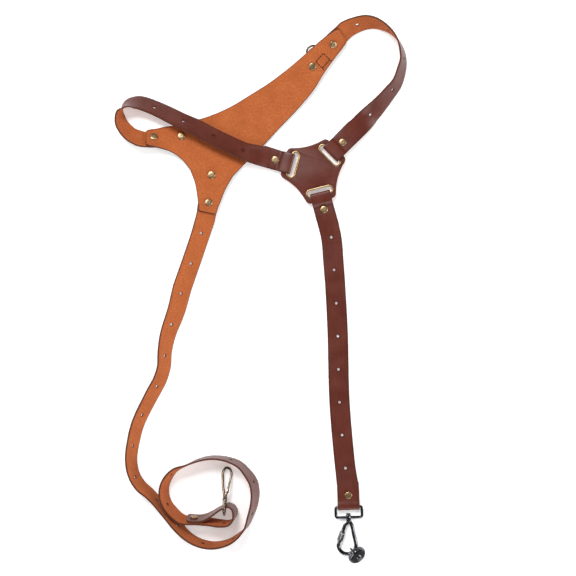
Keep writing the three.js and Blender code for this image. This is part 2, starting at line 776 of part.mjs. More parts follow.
shoulderStrap('right', rightRows);
shoulderStrap('left', leftRows);

// Front drop strap: from the plate down to the rectangular loop, folded round the loop's upper bar

const frontRows = [
  { along: 0.08, side: 0.002, roll: 176, rest: 0.04 },
  { along: 0.2, side: 0.003, roll: 170 },
  { along: 0.36, side: 0.001, roll: 178 },
  { along: 0.57, side: -0.008, roll: 173, rest: 0.03 },
  { along: 0.69, side: -0.008, roll: 179 },
  { along: 0.855, side: -0.003, roll: 180, rest: 0.06 },
];
const wrapRadius = loopRod / 2 + clearance + strapThickness / 2;
const loopBar = vector(loopX, loopY, wrapRadius + strapThickness / 2);

function frontStrap() {
  const gate = lobeGate('front');
  const plateEnd = lobeKnots('front').reverse().map(({ p, w }) => ({ p, w: w.clone().negate() }));
  const heading = turned(loopTurn);
  const w = turned(loopTurn - 90);
  const width = frontEndWidth;
  const place = (back, height) => ({ p: along(loopBar, heading, -back).setZ(height), w, width });
  const level = loopBar.z;
  const end = [
    place(frontScrewSetback + 8, coverHeight),
    place(frontScrewSetback, coverHeight),
    place(frontScrewSetback - 7, coverHeight + 0.4),
    place(3, level + wrapRadius - 0.1),
  ];
  for (const turn of [0, 30, 60, 90, 120, 150, 180]) {
    const [c, s] = [Math.cos(radians(turn)), Math.sin(radians(turn))];
    end.push(place(-wrapRadius * s, level + wrapRadius * c));
  }
  end.push(place(3, level - wrapRadius));
  for (const back of [frontScrewSetback - 7, frontScrewSetback]) end.push(place(back, tailHeight));
  for (const short of [7, 3, 1, 0]) end.push(place(frontTail - short, tailHeight));
  const rows = routeKnots([{ along: 0, side: 0, roll: 180, rest: 0.06 }, ...frontRows], gate, loopBar,
    plateEnd[plateEnd.length - 1].p, end[0].p);
  const knots = [...plateEnd, ...rows, ...end];
  const stations = stationsOf(knots, frontStep);
  const plateScrew = lobeScrewFrame('front');
  const endScrewPlace = along(loopBar, heading, -frontScrewSetback);
  const endScrew = { p: endScrewPlace.setZ((tailHeight + coverHeight) / 2), n: up };
  const screwPlace = nearest(stations, vector(plateScrew.p.x, plateScrew.p.y, coverHeight));
  const cuts = [
    screwHole(plateScrew),
    screwHole(endScrew),
    ...punchFrames(stations, screwPlace + punchings.front.first, punchings.front.count, punchPitch)
      .map(adjustingHole),
  ];
  addPiece('front_drop_strap', cut(ribbon(stations, strapThickness, strapCornerRadius), cuts), leather);
  addPiece('plate_screw_front', screwGeometry(plateScrew, foldGrip), antiqueBrass);
  addPiece('loop_screw', screwGeometry(endScrew, foldGrip), antiqueBrass);
}
frontStrap();

// Rear drop strap: down from the yoke's rear leg, round one turn standing on edge, and folded back
// to itself in an end loop that carries the snap hook

const dropRows = [
  { along: 0.085, side: -0.026, roll: -31 },
  { along: 0.185, side: -0.06, roll: -31 },
  { along: 0.28, side: -0.093, roll: -31 },
  { along: 0.365, side: -0.115, roll: -36 },
  { along: 0.475, side: -0.152, roll: -48 },
  { along: 0.545, side: -0.163, roll: -55 },
  { along: 0.595, side: -0.166, roll: -56 },
  { along: 0.65, side: -0.183, roll: -55 },
  { along: 0.695, side: -0.206, roll: -54 },
  { along: 0.76, side: -0.24, roll: -56 },
  { along: 0.825, side: -0.27, roll: -58 },
  { along: 0.895, side: -0.288, roll: -61 },
  { along: 0.975, side: -0.297, roll: -64 },
  { along: 1.03, side: -0.286, roll: -66 },
  { along: 1.075, side: -0.258, roll: -67 },
];
const coilRows = [
  { turn: 172, reach: 1.355, roll: -69 },
  { turn: 180.5, reach: 1.15, roll: -72 },
  { turn: 193, reach: 1.0, roll: -72 },
  { turn: 219, reach: 0.89, roll: -70 },
  { turn: 239, reach: 0.91, roll: -75 },
  { turn: 258, reach: 0.955, roll: -78 },
  { turn: 277, reach: 0.995, roll: -82 },
  { turn: 295, reach: 1.015, roll: -85 },
  { turn: 311, reach: 1.015, roll: -90 },
  { turn: 324, reach: 1.015, roll: -98 },
  { turn: 339, reach: 0.99, roll: -105 },
  { turn: 357, reach: 1.01, roll: -110 },
  { turn: 371, reach: 1.045, roll: -111 },
  { turn: 383, reach: 1.065, roll: -110 },
  { turn: 395, reach: 1.055, roll: -106 },
  { turn: 410, reach: 1.05, roll: -100 },
  { turn: 426, reach: 1.005, roll: -95 },
  { turn: 447, reach: 0.955, roll: -91 },
  { turn: 466, reach: 0.925, roll: -88 },
  { turn: 483, reach: 0.935, roll: -84 },
  { turn: 498, reach: 1.01, roll: -76 },
  { turn: 513, reach: 1.035, roll: -70 },
  { turn: 524, reach: 1.03, roll: -69 },
  { turn: 535, reach: 0.99, roll: -68 },
  { turn: 546, reach: 0.92, roll: -69 },
  { turn: 559, reach: 0.82, roll: -70 },
  { turn: 573, reach: 0.73, roll: -73 },
];
const endLoopRows = [
  { along: 0.14, side: -0.027, roll: -80 },
  { along: 0.28, side: -0.034, roll: -80, rest: 0.01 },
  { along: 0.46, side: -0.045, roll: -80, rest: 0.06 },
  { along: 0.7, side: -0.07, roll: -81, rest: 0.14 },
  { along: 0.88, side: -0.055, roll: -87, rest: 0.19 },
  { along: 0.975, side: 0.03, roll: -95, rest: 0.21 },
  { along: 1, side: 0.15, roll: -101, rest: 0.22 },
  { along: 0.96, side: 0.26, roll: -97, rest: 0.22 },
  { along: 0.875, side: 0.31, roll: -93, rest: 0.22 },
  { along: 0.78, side: 0.29, roll: -90, rest: 0.22 },
  { along: 0.66, side: 0.225, roll: -91, rest: 0.2 },
  { along: 0.5, side: 0.115, roll: -94, rest: 0.14 },
  { along: 0.36, side: 0.045, roll: -97, rest: 0.07 },
  { along: 0.24, side: 0.02, roll: -99, rest: 0.02 },
  { along: 0.14, side: 0.022, roll: -100 },
  { along: 0.06, side: 0.03, roll: -100 },
  { along: 0.02, side: 0.034, roll: -100 },
  { along: 0, side: 0.036, roll: -100 },
];
const endLoopOffset = { x: -0.48, y: -0.415 };

const endLoopStart = vector(endLoopOffset.x, endLoopOffset.y, 0).multiplyScalar(coilRadius)
  .add(vector(coilX, coilY, 0));
const endLoopPlace = (row) => along(endLoopStart, vector(row.along, row.side, 0), endLoopLength);

function rearStrap() {
  const under = armKnots('rear');
  const tip = under[under.length - 1].p;
  const coilCentre = vector(coilX, coilY, 0);
  const places = [
    ...dropRows.map((row) => vector(tip.x + row.side * rearDrop, tip.y - row.along * rearDrop, 0)),
    ...coilRows.map((row) => along(coilCentre, turned(row.turn), row.reach * coilRadius)),
    ...endLoopRows.map(endLoopPlace),
  ];
  const rows = [...dropRows, ...coilRows, ...endLoopRows];
  const beyond = along(places[places.length - 1], vector(-1, 0, 0), 3);
  const knots = [...under, ...rolledKnots(rows, places, under[under.length - 2].p, beyond)];
  const stations = stationsOf(knots, rearStep);
  const lower = knots[under.length + dropRows.length + coilRows.length];
  const upper = knots[knots.length - 4];
  const across = upper.p.clone().sub(lower.p);
  const { n } = frameAt(stations, nearest(stations, lower.p));
  const endScrew = { p: along(lower.p, across, 0.5), n };
  const first = nearest(stations, armScrewFrame('rear', armScrews.rear.setback).p) + rearPunching.first;
  const holes = punchFrames(stations, first, rearPunching.count, rearPunching.pitch)
    .filter(({ p }) => p.distanceTo(endScrew.p) > screwHeadDiameter);
  const cuts = [
    ...armScrewFrames.filter(({ name }) => name.includes('_rear_')).map(({ frame }) => screwHole(frame)),
    screwHole(endScrew),
    ...holes.map(adjustingHole),
  ];
  addPiece('rear_drop_strap', cut(ribbon(stations, strapThickness, strapCornerRadius), cuts), leather);
  const grip = Math.abs(across.dot(n)) + strapThickness + 4 * clearance;
  addPiece('end_loop_screw', screwGeometry(endScrew, grip), antiqueBrass);
}
rearStrap();

// Hardware: rods bent in a local plane, X to the right, Y towards the strap and Z up

const localUp = vector(0, 0, 1);

function curved(rows, scaleX, scaleY, parts) {
  const points = rows.map(({ side, down }) => vector(side * scaleX, -down * scaleY, 0));
  return new THREE.CatmullRomCurve3(points, false, 'centripetal').getPoints(parts);
}

// A closed rectangle of rod with rounded corners, about its middle
function rectangleRod(width, height, corner, radius, sides) {
  const points = [[1, 1, 0], [-1, 1, 90], [-1, -1, 180], [1, -1, 270]].flatMap(([x, y, from]) => (
    [0, 45, 90].map((turn) => turned(from + turn).multiplyScalar(corner)
      .add(vector(x * (width / 2 - corner), y * (height / 2 - corner), 0)))));
  return bentRod(points, radius, sides, localUp, true);
}

// A hinge: a tongue with a bore on the fixed part, two cheeks and a pin on the moving part.
// Both lie in the local plane; the tongue comes from one place and the cheeks go to another.
function slab(from, to, radius, bottom, height) {
  const span = to.clone().sub(from);
  const shape = obround(span.length() + 2 * radius, 2 * radius);
  const geometry = raise(shape, height, 4);
  geometry.rotateZ(Math.atan2(span.y, span.x));
  const centre = from.clone().add(to).multiplyScalar(0.5);
  return geometry.translate(centre.x, centre.y, bottom);
}

function hingeParts(pivot, root, toward, size) {
  const half = size.tongue / 2;
  const outside = half + size.gap + size.cheek;
  const pin = (reach, radius) => rod(
    along(pivot, localUp, -reach), along(pivot, localUp, reach), radius, radius, 10);
  return {
    tongue: slab(root, pivot, size.radius, -half, size.tongue),
    bore: pin(outside, size.pin + size.gap),
    cheeks: [
      slab(pivot, toward, size.radius, half + size.gap, size.cheek),
      slab(pivot, toward, size.radius, -outside, size.cheek),
      pin(outside - 0.1, size.pin),
    ],
  };
}

// A swivel stem that turns in a bored boss, with its head on the strap side and a collar outside
function swivelStem(bossTop, bossBottom, headHeight, headRadius, collarRadius, stemRadius) {
  const at = (y) => vector(0, y, 0);
  return [
    rod(at(bossTop + clearance + headHeight), at(bossTop + clearance), headRadius, headRadius, 12),
    rod(at(bossTop + clearance + 0.1), at(bossBottom - clearance - 0.5), stemRadius, stemRadius, 12),
    rod(at(bossBottom - clearance), at(bossBottom - clearance - collarLength), collarRadius, undefined, 12),
  ];
}

const placed = (geometry, matrix) => geometry.clone().applyMatrix4(matrix);

function frameMatrix(origin, turn, tilt) {
  return new THREE.Matrix4().makeTranslation(origin.x, origin.y, origin.z)
    .multiply(new THREE.Matrix4().makeRotationZ(radians(turn)))
    .multiply(new THREE.Matrix4().makeRotationX(radians(tilt)));
}

// Rectangular loop: its upper bar runs in the strap's fold, its lower bar carries the swivel boss

const loopSlope = THREE.MathUtils.radToDeg(Math.atan2(loopBar.z - swivelHeight, loopDrop));
const loopMatrix = frameMatrix(loopBar, loopTurn + 90, loopSlope)
  .multiply(new THREE.Matrix4().makeTranslation(0, -loopDrop / 2, 0));
const bossX = -0.7;
const boss = vector(bossX, -loopDrop, 0)
  .applyMatrix4(frameMatrix(vector(loopBar.x, loopBar.y, 0), loopTurn + 90, 0)).setZ(swivelHeight);
const carabinerMatrix = frameMatrix(boss, loopTurn + 90, -carabinerTilt);
const bossTop = bossLength / 2;
const loopRectangle = rectangleRod(loopInnerWidth + loopRod, loopDrop, loopCorner, loopRod / 2, 8);
const bossBarrel = rod(vector(0, bossTop, 0), vector(0, -bossTop, 0), bossDiameter / 2, undefined, 14);
const bossBore = rod(vector(0, 9, 0), vector(0, -9, 0), stemDiameter / 2 + clearance, undefined, 12);
addPiece('swivel_loop', cut(
  join([placed(loopRectangle, loopMatrix), placed(bossBarrel, carabinerMatrix)]),
  [placed(bossBore, carabinerMatrix)],
), gunmetal);

// Carabiner: one bent rod from the swivel round to its nose, a gate and a locking sleeve on it

const carabinerRows = [
  { side: 0.03, down: 0.12 },
  { side: 0.135, down: 0.175 },
  { side: 0.2, down: 0.29 },
  { side: 0.245, down: 0.445 },
  { side: 0.305, down: 0.6 },
  { side: 0.355, down: 0.76 },
  { side: 0.295, down: 0.885 },
  { side: 0.215, down: 0.935 },
  { side: 0.115, down: 0.975 },
  { side: -0.12, down: 1.005 },
  { side: -0.36, down: 0.97 },
  { side: -0.53, down: 0.885 },
  { side: -0.6, down: 0.8 },
  { side: -0.604, down: 0.748 },
];
const gatePivot = vector(-4.8, -9.6, 0);
const noseDirection = vector(-8.1, -21.4, 0).normalize();
const gateEnd = along(gatePivot, noseDirection, gateLength);
const nose = along(gateEnd, noseDirection, 0.4);
const carabinerHinge = { tongue: 1.6, cheek: 0.9, gap: 0.3, pin: 0.9, radius: 1.9 };
const gateRoot = along(gatePivot, noseDirection, 4);
const carabinerParts = hingeParts(gatePivot, vector(-0.6, -6.3, 0), gateRoot, carabinerHinge);
const carabinerBend = curved(carabinerRows, carabinerWidth, carabinerLength, 18);
const carabinerPath = [...carabinerBend, along(nose, noseDirection, 1.2), nose];
addPiece('carabiner_body', placed(cut(
  join([
    bentRod(carabinerPath, carabinerRod / 2, 8, localUp),
    ...swivelStem(bossTop, -bossTop, 1.5, 2.7, 3, stemDiameter / 2),
    carabinerParts.tongue,
  ]),
  [carabinerParts.bore],
), carabinerMatrix), gunmetal);
const gateRodRadius = carabinerRod / 2 - 0.05;
addPiece('carabiner_gate', placed(join([
  rod(along(gatePivot, noseDirection, 2.7), gateEnd, gateRodRadius, gateRodRadius, 12),
  ...carabinerParts.cheeks,
]), carabinerMatrix), gunmetal);
const sleeveStart = along(gatePivot, noseDirection, sleeveSetback);
const sleeveEnd = along(sleeveStart, noseDirection, sleeveLength);
const sleeveBore = gateRodRadius + clearance;
addPiece('carabiner_sleeve', placed(cut(
  rod(sleeveStart, sleeveEnd, sleeveDiameter / 2, undefined, 16),
  [rod(along(sleeveStart, noseDirection, -1), along(sleeveEnd, noseDirection, 1), sleeveBore)],
), carabinerMatrix), gunmetal);

// Camera fastener: a ring round the carabiner's lower bend, a knob and a threaded stud

const eyeRow = { side: 0.2, down: 0.93 };
const eyeSpot = vector(eyeRow.side * carabinerWidth, -eyeRow.down * carabinerLength, 0)
  .applyMatrix4(carabinerMatrix);
const knobEyeRadius = (knobEyeBore + knobEyeRod) / 2;
const knobEye = eyeSpot.clone().setZ(knobEyeRadius + knobEyeRod / 2 + 0.1);
const knobAxis = turned(knobTurn + loopTurn + 90).multiplyScalar(Math.sin(radians(knobTilt)))
  .addScaledVector(up, Math.cos(radians(knobTilt)));
const bendDirection = turned(loopTurn + 90 + 225);
const eyeAxis = bendDirection.addScaledVector(knobAxis, -bendDirection.dot(knobAxis)).normalize();
const eyeSide = eyeAxis.clone().cross(knobAxis);
const ringPoints = 12;
const knobRing = Array.from({ length: ringPoints }, (_, i) => {
  const spot = turned((360 * i) / ringPoints).multiplyScalar(knobEyeRadius);
  return along(along(knobEye, knobAxis, spot.x), eyeSide, spot.y);
});
const knobPart = (from, to, radius, sides) => rod(
  along(knobEye, knobAxis, from), along(knobEye, knobAxis, to), radius, radius, sides);
const knobTop = knobSetback + knobHeight;
const studTop = knobTop + clearance + padThickness + studLength;
const knobProfile = [
  [0, knobSetback], [knobDiameter / 2 - 1, knobSetback], [knobDiameter / 2, knobSetback + 1],
  [knobDiameter / 2, knobTop - 1], [knobDiameter / 2 - 1, knobTop], [studDiameter / 2, knobTop],
  [studDiameter / 2, studTop - 0.5], [studDiameter / 2 - 0.5, studTop], [0, studTop],
];
addPiece('camera_fastener', join([
  bentRod(knobRing, knobEyeRod / 2, 6, eyeAxis, true),
  knobPart(knobEyeBore / 2 + 0.3, knobSetback + 1, knobEyeRod * 0.9, 10),
  lathed(knobProfile, knobEye, knobAxis, 18),
]), gunmetal);
addPiece('rubber_pad', cut(
  knobPart(knobTop + clearance, knobTop + clearance + padThickness, padDiameter / 2, 18),
  [knobPart(knobTop - 1, studTop, studDiameter / 2 + clearance, 14)],
), rubber);

// Snap hook: an upright eye on the end loop, and the hook that turns in the eye's boss

const hookMatrix = frameMatrix(vector(eyeX, eyeY, eyeHeight), hookTurn + 90, hookTilt);
const eyeRectangle = rectangleRod(eyeInnerHeight + eyeRod, eyeLength, loopCorner, eyeRod / 2, 8)
  .rotateY(Math.PI / 2).translate(0, eyeLength / 2, 0);
const eyeBoss = rod(vector(0, 1.9, 0), vector(0, -3, 0), 3, undefined, 12);
const eyeBore = rod(vector(0, 6, 0), vector(0, -6, 0), hookStem / 2 + clearance, undefined, 12);
addPiece('hook_eye', placed(cut(join([eyeRectangle, eyeBoss]), [eyeBore]), hookMatrix), bronze);

const hookRows = [
  { side: 0.08, down: 0.135 },
  { side: 0.17, down: 0.23 },
  { side: 0.308, down: 0.394 },
  { side: 0.404, down: 0.64 },
  { side: 0.442, down: 0.813 },
  { side: 0.356, down: 0.926 },
  { side: 0.03, down: 1 },
  { side: -0.327, down: 0.97 },
  { side: -0.525, down: 0.89 },
  { side: -0.58, down: 0.835 },
];
const hookPivot = vector(-2.3, -9.7, 0);
const hookNoseDirection = vector(-3.65, -20.9, 0).normalize();
const hookGateEnd = along(hookPivot, hookNoseDirection, hookGateLength);
const hookNose = along(hookGateEnd, hookNoseDirection, 0.4);
const hookHinge = { tongue: 1.1, cheek: 0.6, gap: 0.25, pin: 0.7, radius: 1.6 };
const latchRoot = along(hookPivot, hookNoseDirection, 3.4);
const hookParts = hingeParts(hookPivot, vector(0, -5.4, 0), latchRoot, hookHinge);
const hookBend = curved(hookRows, hookWidth, hookLength, 14);
const hookPath = [...hookBend, along(hookNose, hookNoseDirection, 1), hookNose];
addPiece('hook_body', placed(cut(
  join([
    bentRod(hookPath, hookRod / 2, 8, localUp),
    ...swivelStem(1.9, -3, 1.2, 2.5, 2.7, hookStem / 2),
    hookParts.tongue,
  ]),
  [hookParts.bore],
), hookMatrix), bronze);
addPiece('hook_gate', placed(join([
  rod(along(hookPivot, hookNoseDirection, 2.3), hookGateEnd, hookGateRod / 2, undefined, 10),
  ...hookParts.cheeks,
]), hookMatrix), bronze);

// D-ring under the raised edge of the long arm, held by a short folded tab

const ringSeat = armSeats.right(ringSetback);
const tabRadius = ringWire / 2 + clearance + tabThickness / 2;
const ringOutwards = turned(ringTurn);
const ringBar = along(ringSeat.p, ringOutwards, ringInset).setZ(tabRadius + tabThickness / 2 + 0.1);
const ringHalf = (ringWidth - ringWire) / 2;
const ringStraight = 4;
const ringPath = [vector(-ringHalf + 1.2, 0, 0), vector(ringHalf - 1.2, 0, 0), vector(ringHalf, 1.2, 0)];
for (let turn = 0; turn <= 180; turn += 20) {
  const spot = turned(turn);
  const bow = (ringDepth - ringWire / 2 - ringStraight) * spot.y;
  ringPath.push(vector(ringHalf * spot.x, ringStraight + bow, 0));
}
ringPath.push(vector(-ringHalf, 1.2, 0));
addPiece('d_ring', placed(
  bentRod(ringPath, ringWire / 2, 8, localUp, true),
  frameMatrix(ringBar, ringTurn - 90, ringTilt),
), antiqueBrass);

function tabKnots() {
  const w = turned(ringTurn - 90);
  const width = tabWidth;
  const place = (inwards, height) => ({ p: along(ringBar, ringOutwards, -inwards).setZ(height), w, width });
  const low = ringBar.z - tabRadius;
  const knots = [place(tabLength, low), place(tabLength - 3, low), place(3, low)];
  for (const turn of [-90, -60, -30, 0, 30, 60, 90]) {
    const spot = turned(turn);
    knots.push(place(-tabRadius * spot.x, ringBar.z + tabRadius * spot.y));
  }
  const high = low + tabThickness + clearance;
  knots.push(place(3.5, ringBar.z + 1.3), place(7, high + 0.2));
  knots.push(place(tabLength - 2, high), place(tabLength, high));
  return knots;
}
addPiece('d_ring_tab', ribbon(stationsOf(tabKnots(), 3), tabThickness, 1), leather);

export default harness;
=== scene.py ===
import math
import random

import bmesh
import bpy
import numpy as np
from mathutils import Matrix, Vector


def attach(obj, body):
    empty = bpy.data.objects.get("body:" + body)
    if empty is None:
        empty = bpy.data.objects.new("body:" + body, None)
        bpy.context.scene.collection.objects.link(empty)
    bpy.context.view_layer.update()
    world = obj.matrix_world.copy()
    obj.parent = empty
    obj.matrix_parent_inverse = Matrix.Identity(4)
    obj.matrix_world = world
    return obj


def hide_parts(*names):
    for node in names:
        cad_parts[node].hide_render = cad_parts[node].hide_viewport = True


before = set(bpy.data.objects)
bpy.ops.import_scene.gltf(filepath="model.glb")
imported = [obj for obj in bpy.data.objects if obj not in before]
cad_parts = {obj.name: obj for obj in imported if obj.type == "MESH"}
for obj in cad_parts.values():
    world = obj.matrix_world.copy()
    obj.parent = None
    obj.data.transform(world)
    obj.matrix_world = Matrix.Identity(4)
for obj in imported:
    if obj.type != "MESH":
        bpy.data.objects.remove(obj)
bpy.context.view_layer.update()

# The back yoke: one piece of vegetable-tanned leather cut as a fork, lying with its rough
# flesh side up and its dyed grain side down. Its cut edges are burnished dark, and a box of
# thread near the tip of the long arm holds the tab of the D-ring under it.

MM = 0.001
YOKE_LENGTH = 273 * MM
YOKE_CROTCH = np.array([-88.5, 148.8]) * MM
YOKE_TURN = math.radians(40.6)
YOKE_THICKNESS = 2.4 * MM
STRAP_WIDTH = 25.4 * MM


def deselect():
    bpy.ops.object.select_all(action="DESELECT")


def take(obj):
    deselect()
    obj.select_set(True)
    bpy.context.view_layer.objects.active = obj


def finish_with(obj, kind, **settings):
    take(obj)
    modifier = obj.modifiers.new(kind.title(), kind)
    for name, value in settings.items():
        setattr(modifier, name, value)
    bpy.ops.object.modifier_apply(modifier=modifier.name)


def smooth(obj, degrees=35):
    take(obj)
    bpy.ops.object.shade_smooth_by_angle(angle=math.radians(degrees))
    return obj


def piece_from(name, points, faces):
    mesh = bpy.data.meshes.new(name)
    mesh.from_pydata([tuple(p) for p in points], [], [tuple(f) for f in faces])
    mesh.validate()
    mesh.update()
    obj = bpy.data.objects.new(name, mesh)
    bpy.context.scene.collection.objects.link(obj)
    return obj


def coordinates(obj):
    co = np.empty(len(obj.data.vertices) * 3)
    obj.data.vertices.foreach_get("co", co)
    return co.reshape(-1, 3)


def move_points(obj, co):
    obj.data.vertices.foreach_set("co", np.ascontiguousarray(co, dtype=np.float32).ravel())
    obj.data.update()


def eased(f, start, end, leaving, arriving):
    """A smooth step from start to end at a share f, with its slopes at both."""
    return ((2 * f**3 - 3 * f**2 + 1) * start + (f**3 - 2 * f**2 + f) * leaving
            + (3 * f**2 - 2 * f**3) * end + (f**3 - f**2) * arriving)


def through(points, shares):
    """A smooth curve through points, read at shares of its spans."""
    points = np.asarray(points, float)
    path = np.vstack([2 * points[0] - points[1], points, 2 * points[-1] - points[-2]])
    spans = len(points) - 1
    out = []
    for share in shares:
        place = min(max(share, 0), 1) * spans
        i = min(int(place), spans - 1)
        f = place - i
        p0, p1, p2, p3 = path[i:i + 4]
        d = [max(np.linalg.norm(b - a), 1e-9) ** 0.5 for a, b in ((p0, p1), (p1, p2), (p2, p3))]
        m1 = ((p1 - p0) / d[0] - (p2 - p0) / (d[0] + d[1]) + (p2 - p1) / d[1]) * d[1]
        m2 = ((p2 - p1) / d[1] - (p3 - p1) / (d[1] + d[2]) + (p3 - p2) / d[2]) * d[1]
        out.append(eased(f, p1, p2, m1, m2))
    return np.array(out)


# Rows across the yoke, from a tip inwards. Each place is how far along the long arm, how far
# left of it, both as shares of YOKE_LENGTH, and how high, as a share of STRAP_WIDTH.
body_rows = [
    ((0.928, 0.049, 0.74), (0.926, -0.018, 0.16)),
    ((0.883, 0.055, 0.66), (0.884, -0.029, 0.18)),
    ((0.827, 0.058, 0.57), (0.822, -0.043, 0.19)),
    ((0.75, 0.058, 0.46), (0.756, -0.06, 0.19)),
    ((0.652, 0.059, 0.3), (0.668, -0.089, 0.17)),
    ((0.538, 0.067, 0.15), (0.555, -0.108, 0.1)),
    ((0.431, 0.083, 0.07), (0.432, -0.12, 0.06)),
    ((0.331, 0.1, 0.05), (0.299, -0.134, 0.05)),
    ((0.244, 0.125, 0.07), (0.216, -0.14, 0.1)),
    ((0.174, 0.152, 0.17), (0.131, -0.149, 0.2)),
]
crotch_middles = [(0.145, 0.011, 0.12), (0, -0.002, 0.25)]
left_leg_rows = [
    ((0.121, 0.176, 0.2), (0.002, 0.058, 0.28)),
    ((0.067, 0.205, 0.2), (-0.013, 0.116, 0.36)),
    ((0.015, 0.235, 0.18), (-0.045, 0.165, 0.55)),
    ((-0.036, 0.266, 0.17), (-0.082, 0.209, 0.78)),
]
rear_leg_rows = [
    ((-0.023, -0.062, 0.26), (0.068, -0.171, 0.21)),
    ((-0.053, -0.112, 0.32), (0.015, -0.198, 0.2)),
    ((-0.073, -0.142, 0.41), (-0.017, -0.214, 0.19)),
    ((-0.095, -0.169, 0.56), (-0.042, -0.229, 0.17)),
]


def yoke_place(row):
    ahead, aside, rise = row
    c, s = math.cos(YOKE_TURN), math.sin(YOKE_TURN)
    x = YOKE_CROTCH[0] + YOKE_LENGTH * (ahead * c - aside * s)
    y = YOKE_CROTCH[1] + YOKE_LENGTH * (ahead * s + aside * c)
    return np.array([x, y, rise * STRAP_WIDTH])


def yoke_edges(rows):
    return [[yoke_place(row[side]) for row in rows] for side in (0, 1)]


body_left, body_right = yoke_edges(body_rows)
left_leg, rear_leg = yoke_edges(left_leg_rows), yoke_edges(rear_leg_rows)
body_middle = [(a + b) / 2 for a, b in zip(body_left, body_right)]
body_middle[-2:] = [yoke_place(row) for row in crotch_middles]
COLUMNS = 14
TIP_REACH = 0.055
patches = [
    ([body_left, body_middle, body_right], 72, 0, 0),
    ([[body_left[-1], *left_leg[0]], [body_middle[-1], *left_leg[1]]], 34, 1, 0),
    ([[body_middle[-1], *rear_leg[0]], [body_right[-1], *rear_leg[1]]], 34, 1, COLUMNS),
]


def round_tip(u, v, tip):
    """Rounds the corners of an arm's tip and bows its end a little: v runs across, 0 to 1."""
    near = np.clip(1 - np.abs(u - tip) / TIP_REACH, 0, 1)
    return 0.5 + (v - 0.5) * (1 - 0.13 * near**2.2)


def yoke_sheet():
    """The long arm and the two legs as one sheet: the legs start on the arm's last row."""
    points, faces, seam = [], [], {}
    for edges, steps, tip, seam_column in patches:
        spans = len(edges) - 1
        wide = COLUMNS * spans
        shares = np.linspace(0, 1, steps + 1)
        curves = [through(edge, shares) for edge in edges]
        grid = np.empty((steps + 1, wide + 1), int)
        for i, share in enumerate(shares):
            for j in range(wide + 1):
                key = seam_column + j if share == 1 - tip else None
                if key in seam:
                    grid[i, j] = seam[key]
                    continue
                place = round_tip(share, j / wide, tip) * spans
                k = min(int(place), spans - 1)
                points.append(curves[k][i] * (1 - place + k) + curves[k + 1][i] * (place - k))
                grid[i, j] = len(points) - 1
                if key is not None:
                    seam[key] = grid[i, j]
        faces += [(grid[i, j], grid[i + 1, j], grid[i + 1, j + 1], grid[i, j + 1])
                  for i in range(steps) for j in range(wide)]
    return points, faces


class Finish:
    """A material, built up node by node round one shader."""

    def __init__(self, name):
        self.material = bpy.data.materials.new(name)
        self.material.use_nodes = True
        self.nodes, self.links = self.material.node_tree.nodes, self.material.node_tree.links
        self.nodes.clear()
        self.shader = self.nodes.new("ShaderNodeBsdfPrincipled")
        output = self.nodes.new("ShaderNodeOutputMaterial")
        self.links.new(self.shader.outputs["BSDF"], output.inputs["Surface"])

    def fixed(self, **values):
        """Sets uniform values, named as the shader's sockets are, with _ for a space."""
        for name, value in values.items():
            self.shader.inputs[name.replace("_", " ")].default_value = value

    def fed(self, socket, value):
        self.links.new(value, self.shader.inputs[socket])

    def place(self):
        return self.nodes.new("ShaderNodeTexCoord").outputs["Object"]

    def cut_map(self):
        """The place on the flat cut leather, and the distance from its edge."""
        uv = self.nodes.new("ShaderNodeUVMap")
        uv.uv_map = "cut"
        rim = self.nodes.new("ShaderNodeAttribute")
        rim.attribute_name = "rim"
        return uv.outputs["UV"], rim.outputs["Fac"]

    def stretched(self, source, scale):
        mapping = self.nodes.new("ShaderNodeMapping")
        mapping.inputs["Scale"].default_value = scale
        self.links.new(source, mapping.inputs["Vector"])
        return mapping.outputs["Vector"]

    def noise(self, vector, scale, detail=3.0, rough=0.55):
        node = self.nodes.new("ShaderNodeTexNoise")
        for name, value in (("Scale", scale), ("Detail", detail), ("Roughness", rough)):
            node.inputs[name].default_value = value
        self.links.new(vector, node.inputs["Vector"])
        return node.outputs["Fac"]

    def between(self, value, low, high, out_low=0.0, out_high=1.0):
        node = self.nodes.new("ShaderNodeMapRange")
        ends = (("From Min", low), ("From Max", high), ("To Min", out_low), ("To Max", out_high))
        for name, number in ends:
            node.inputs[name].default_value = number
        self.links.new(value, node.inputs["Value"])
        return node.outputs["Result"]

    def tint(self, amount, one, other):
        """Mixes two colours, or a colour on what is there, by an amount from 0 to 1."""
        node = self.nodes.new("ShaderNodeMix")
        node.data_type = "RGBA"
        for name, value in (("A", one), ("B", other)):
            socket = next(s for s in node.inputs if s.name == name and s.type == "RGBA")
            if hasattr(value, "is_output"):
                self.links.new(value, socket)
            else:
                socket.default_value = (*value, 1)
        factor = next(s for s in node.inputs if s.name == "Factor" and s.type == "VALUE")
        self.links.new(amount, factor)
        return next(s for s in node.outputs if s.type == "RGBA")

    def relief(self, *layers):
        """Stacks bumps, each (height, strength, depth in metres), from broad to fine."""
        normal = None
        for height, strength, depth in layers:
            node = self.nodes.new("ShaderNodeBump")
            node.inputs["Strength"].default_value = strength
            node.inputs["Distance"].default_value = depth
            self.links.new(height, node.inputs["Height"])
            if normal:
                self.links.new(normal, node.inputs["Normal"])
            normal = node.outputs["Normal"]
        self.fed("Normal", normal)


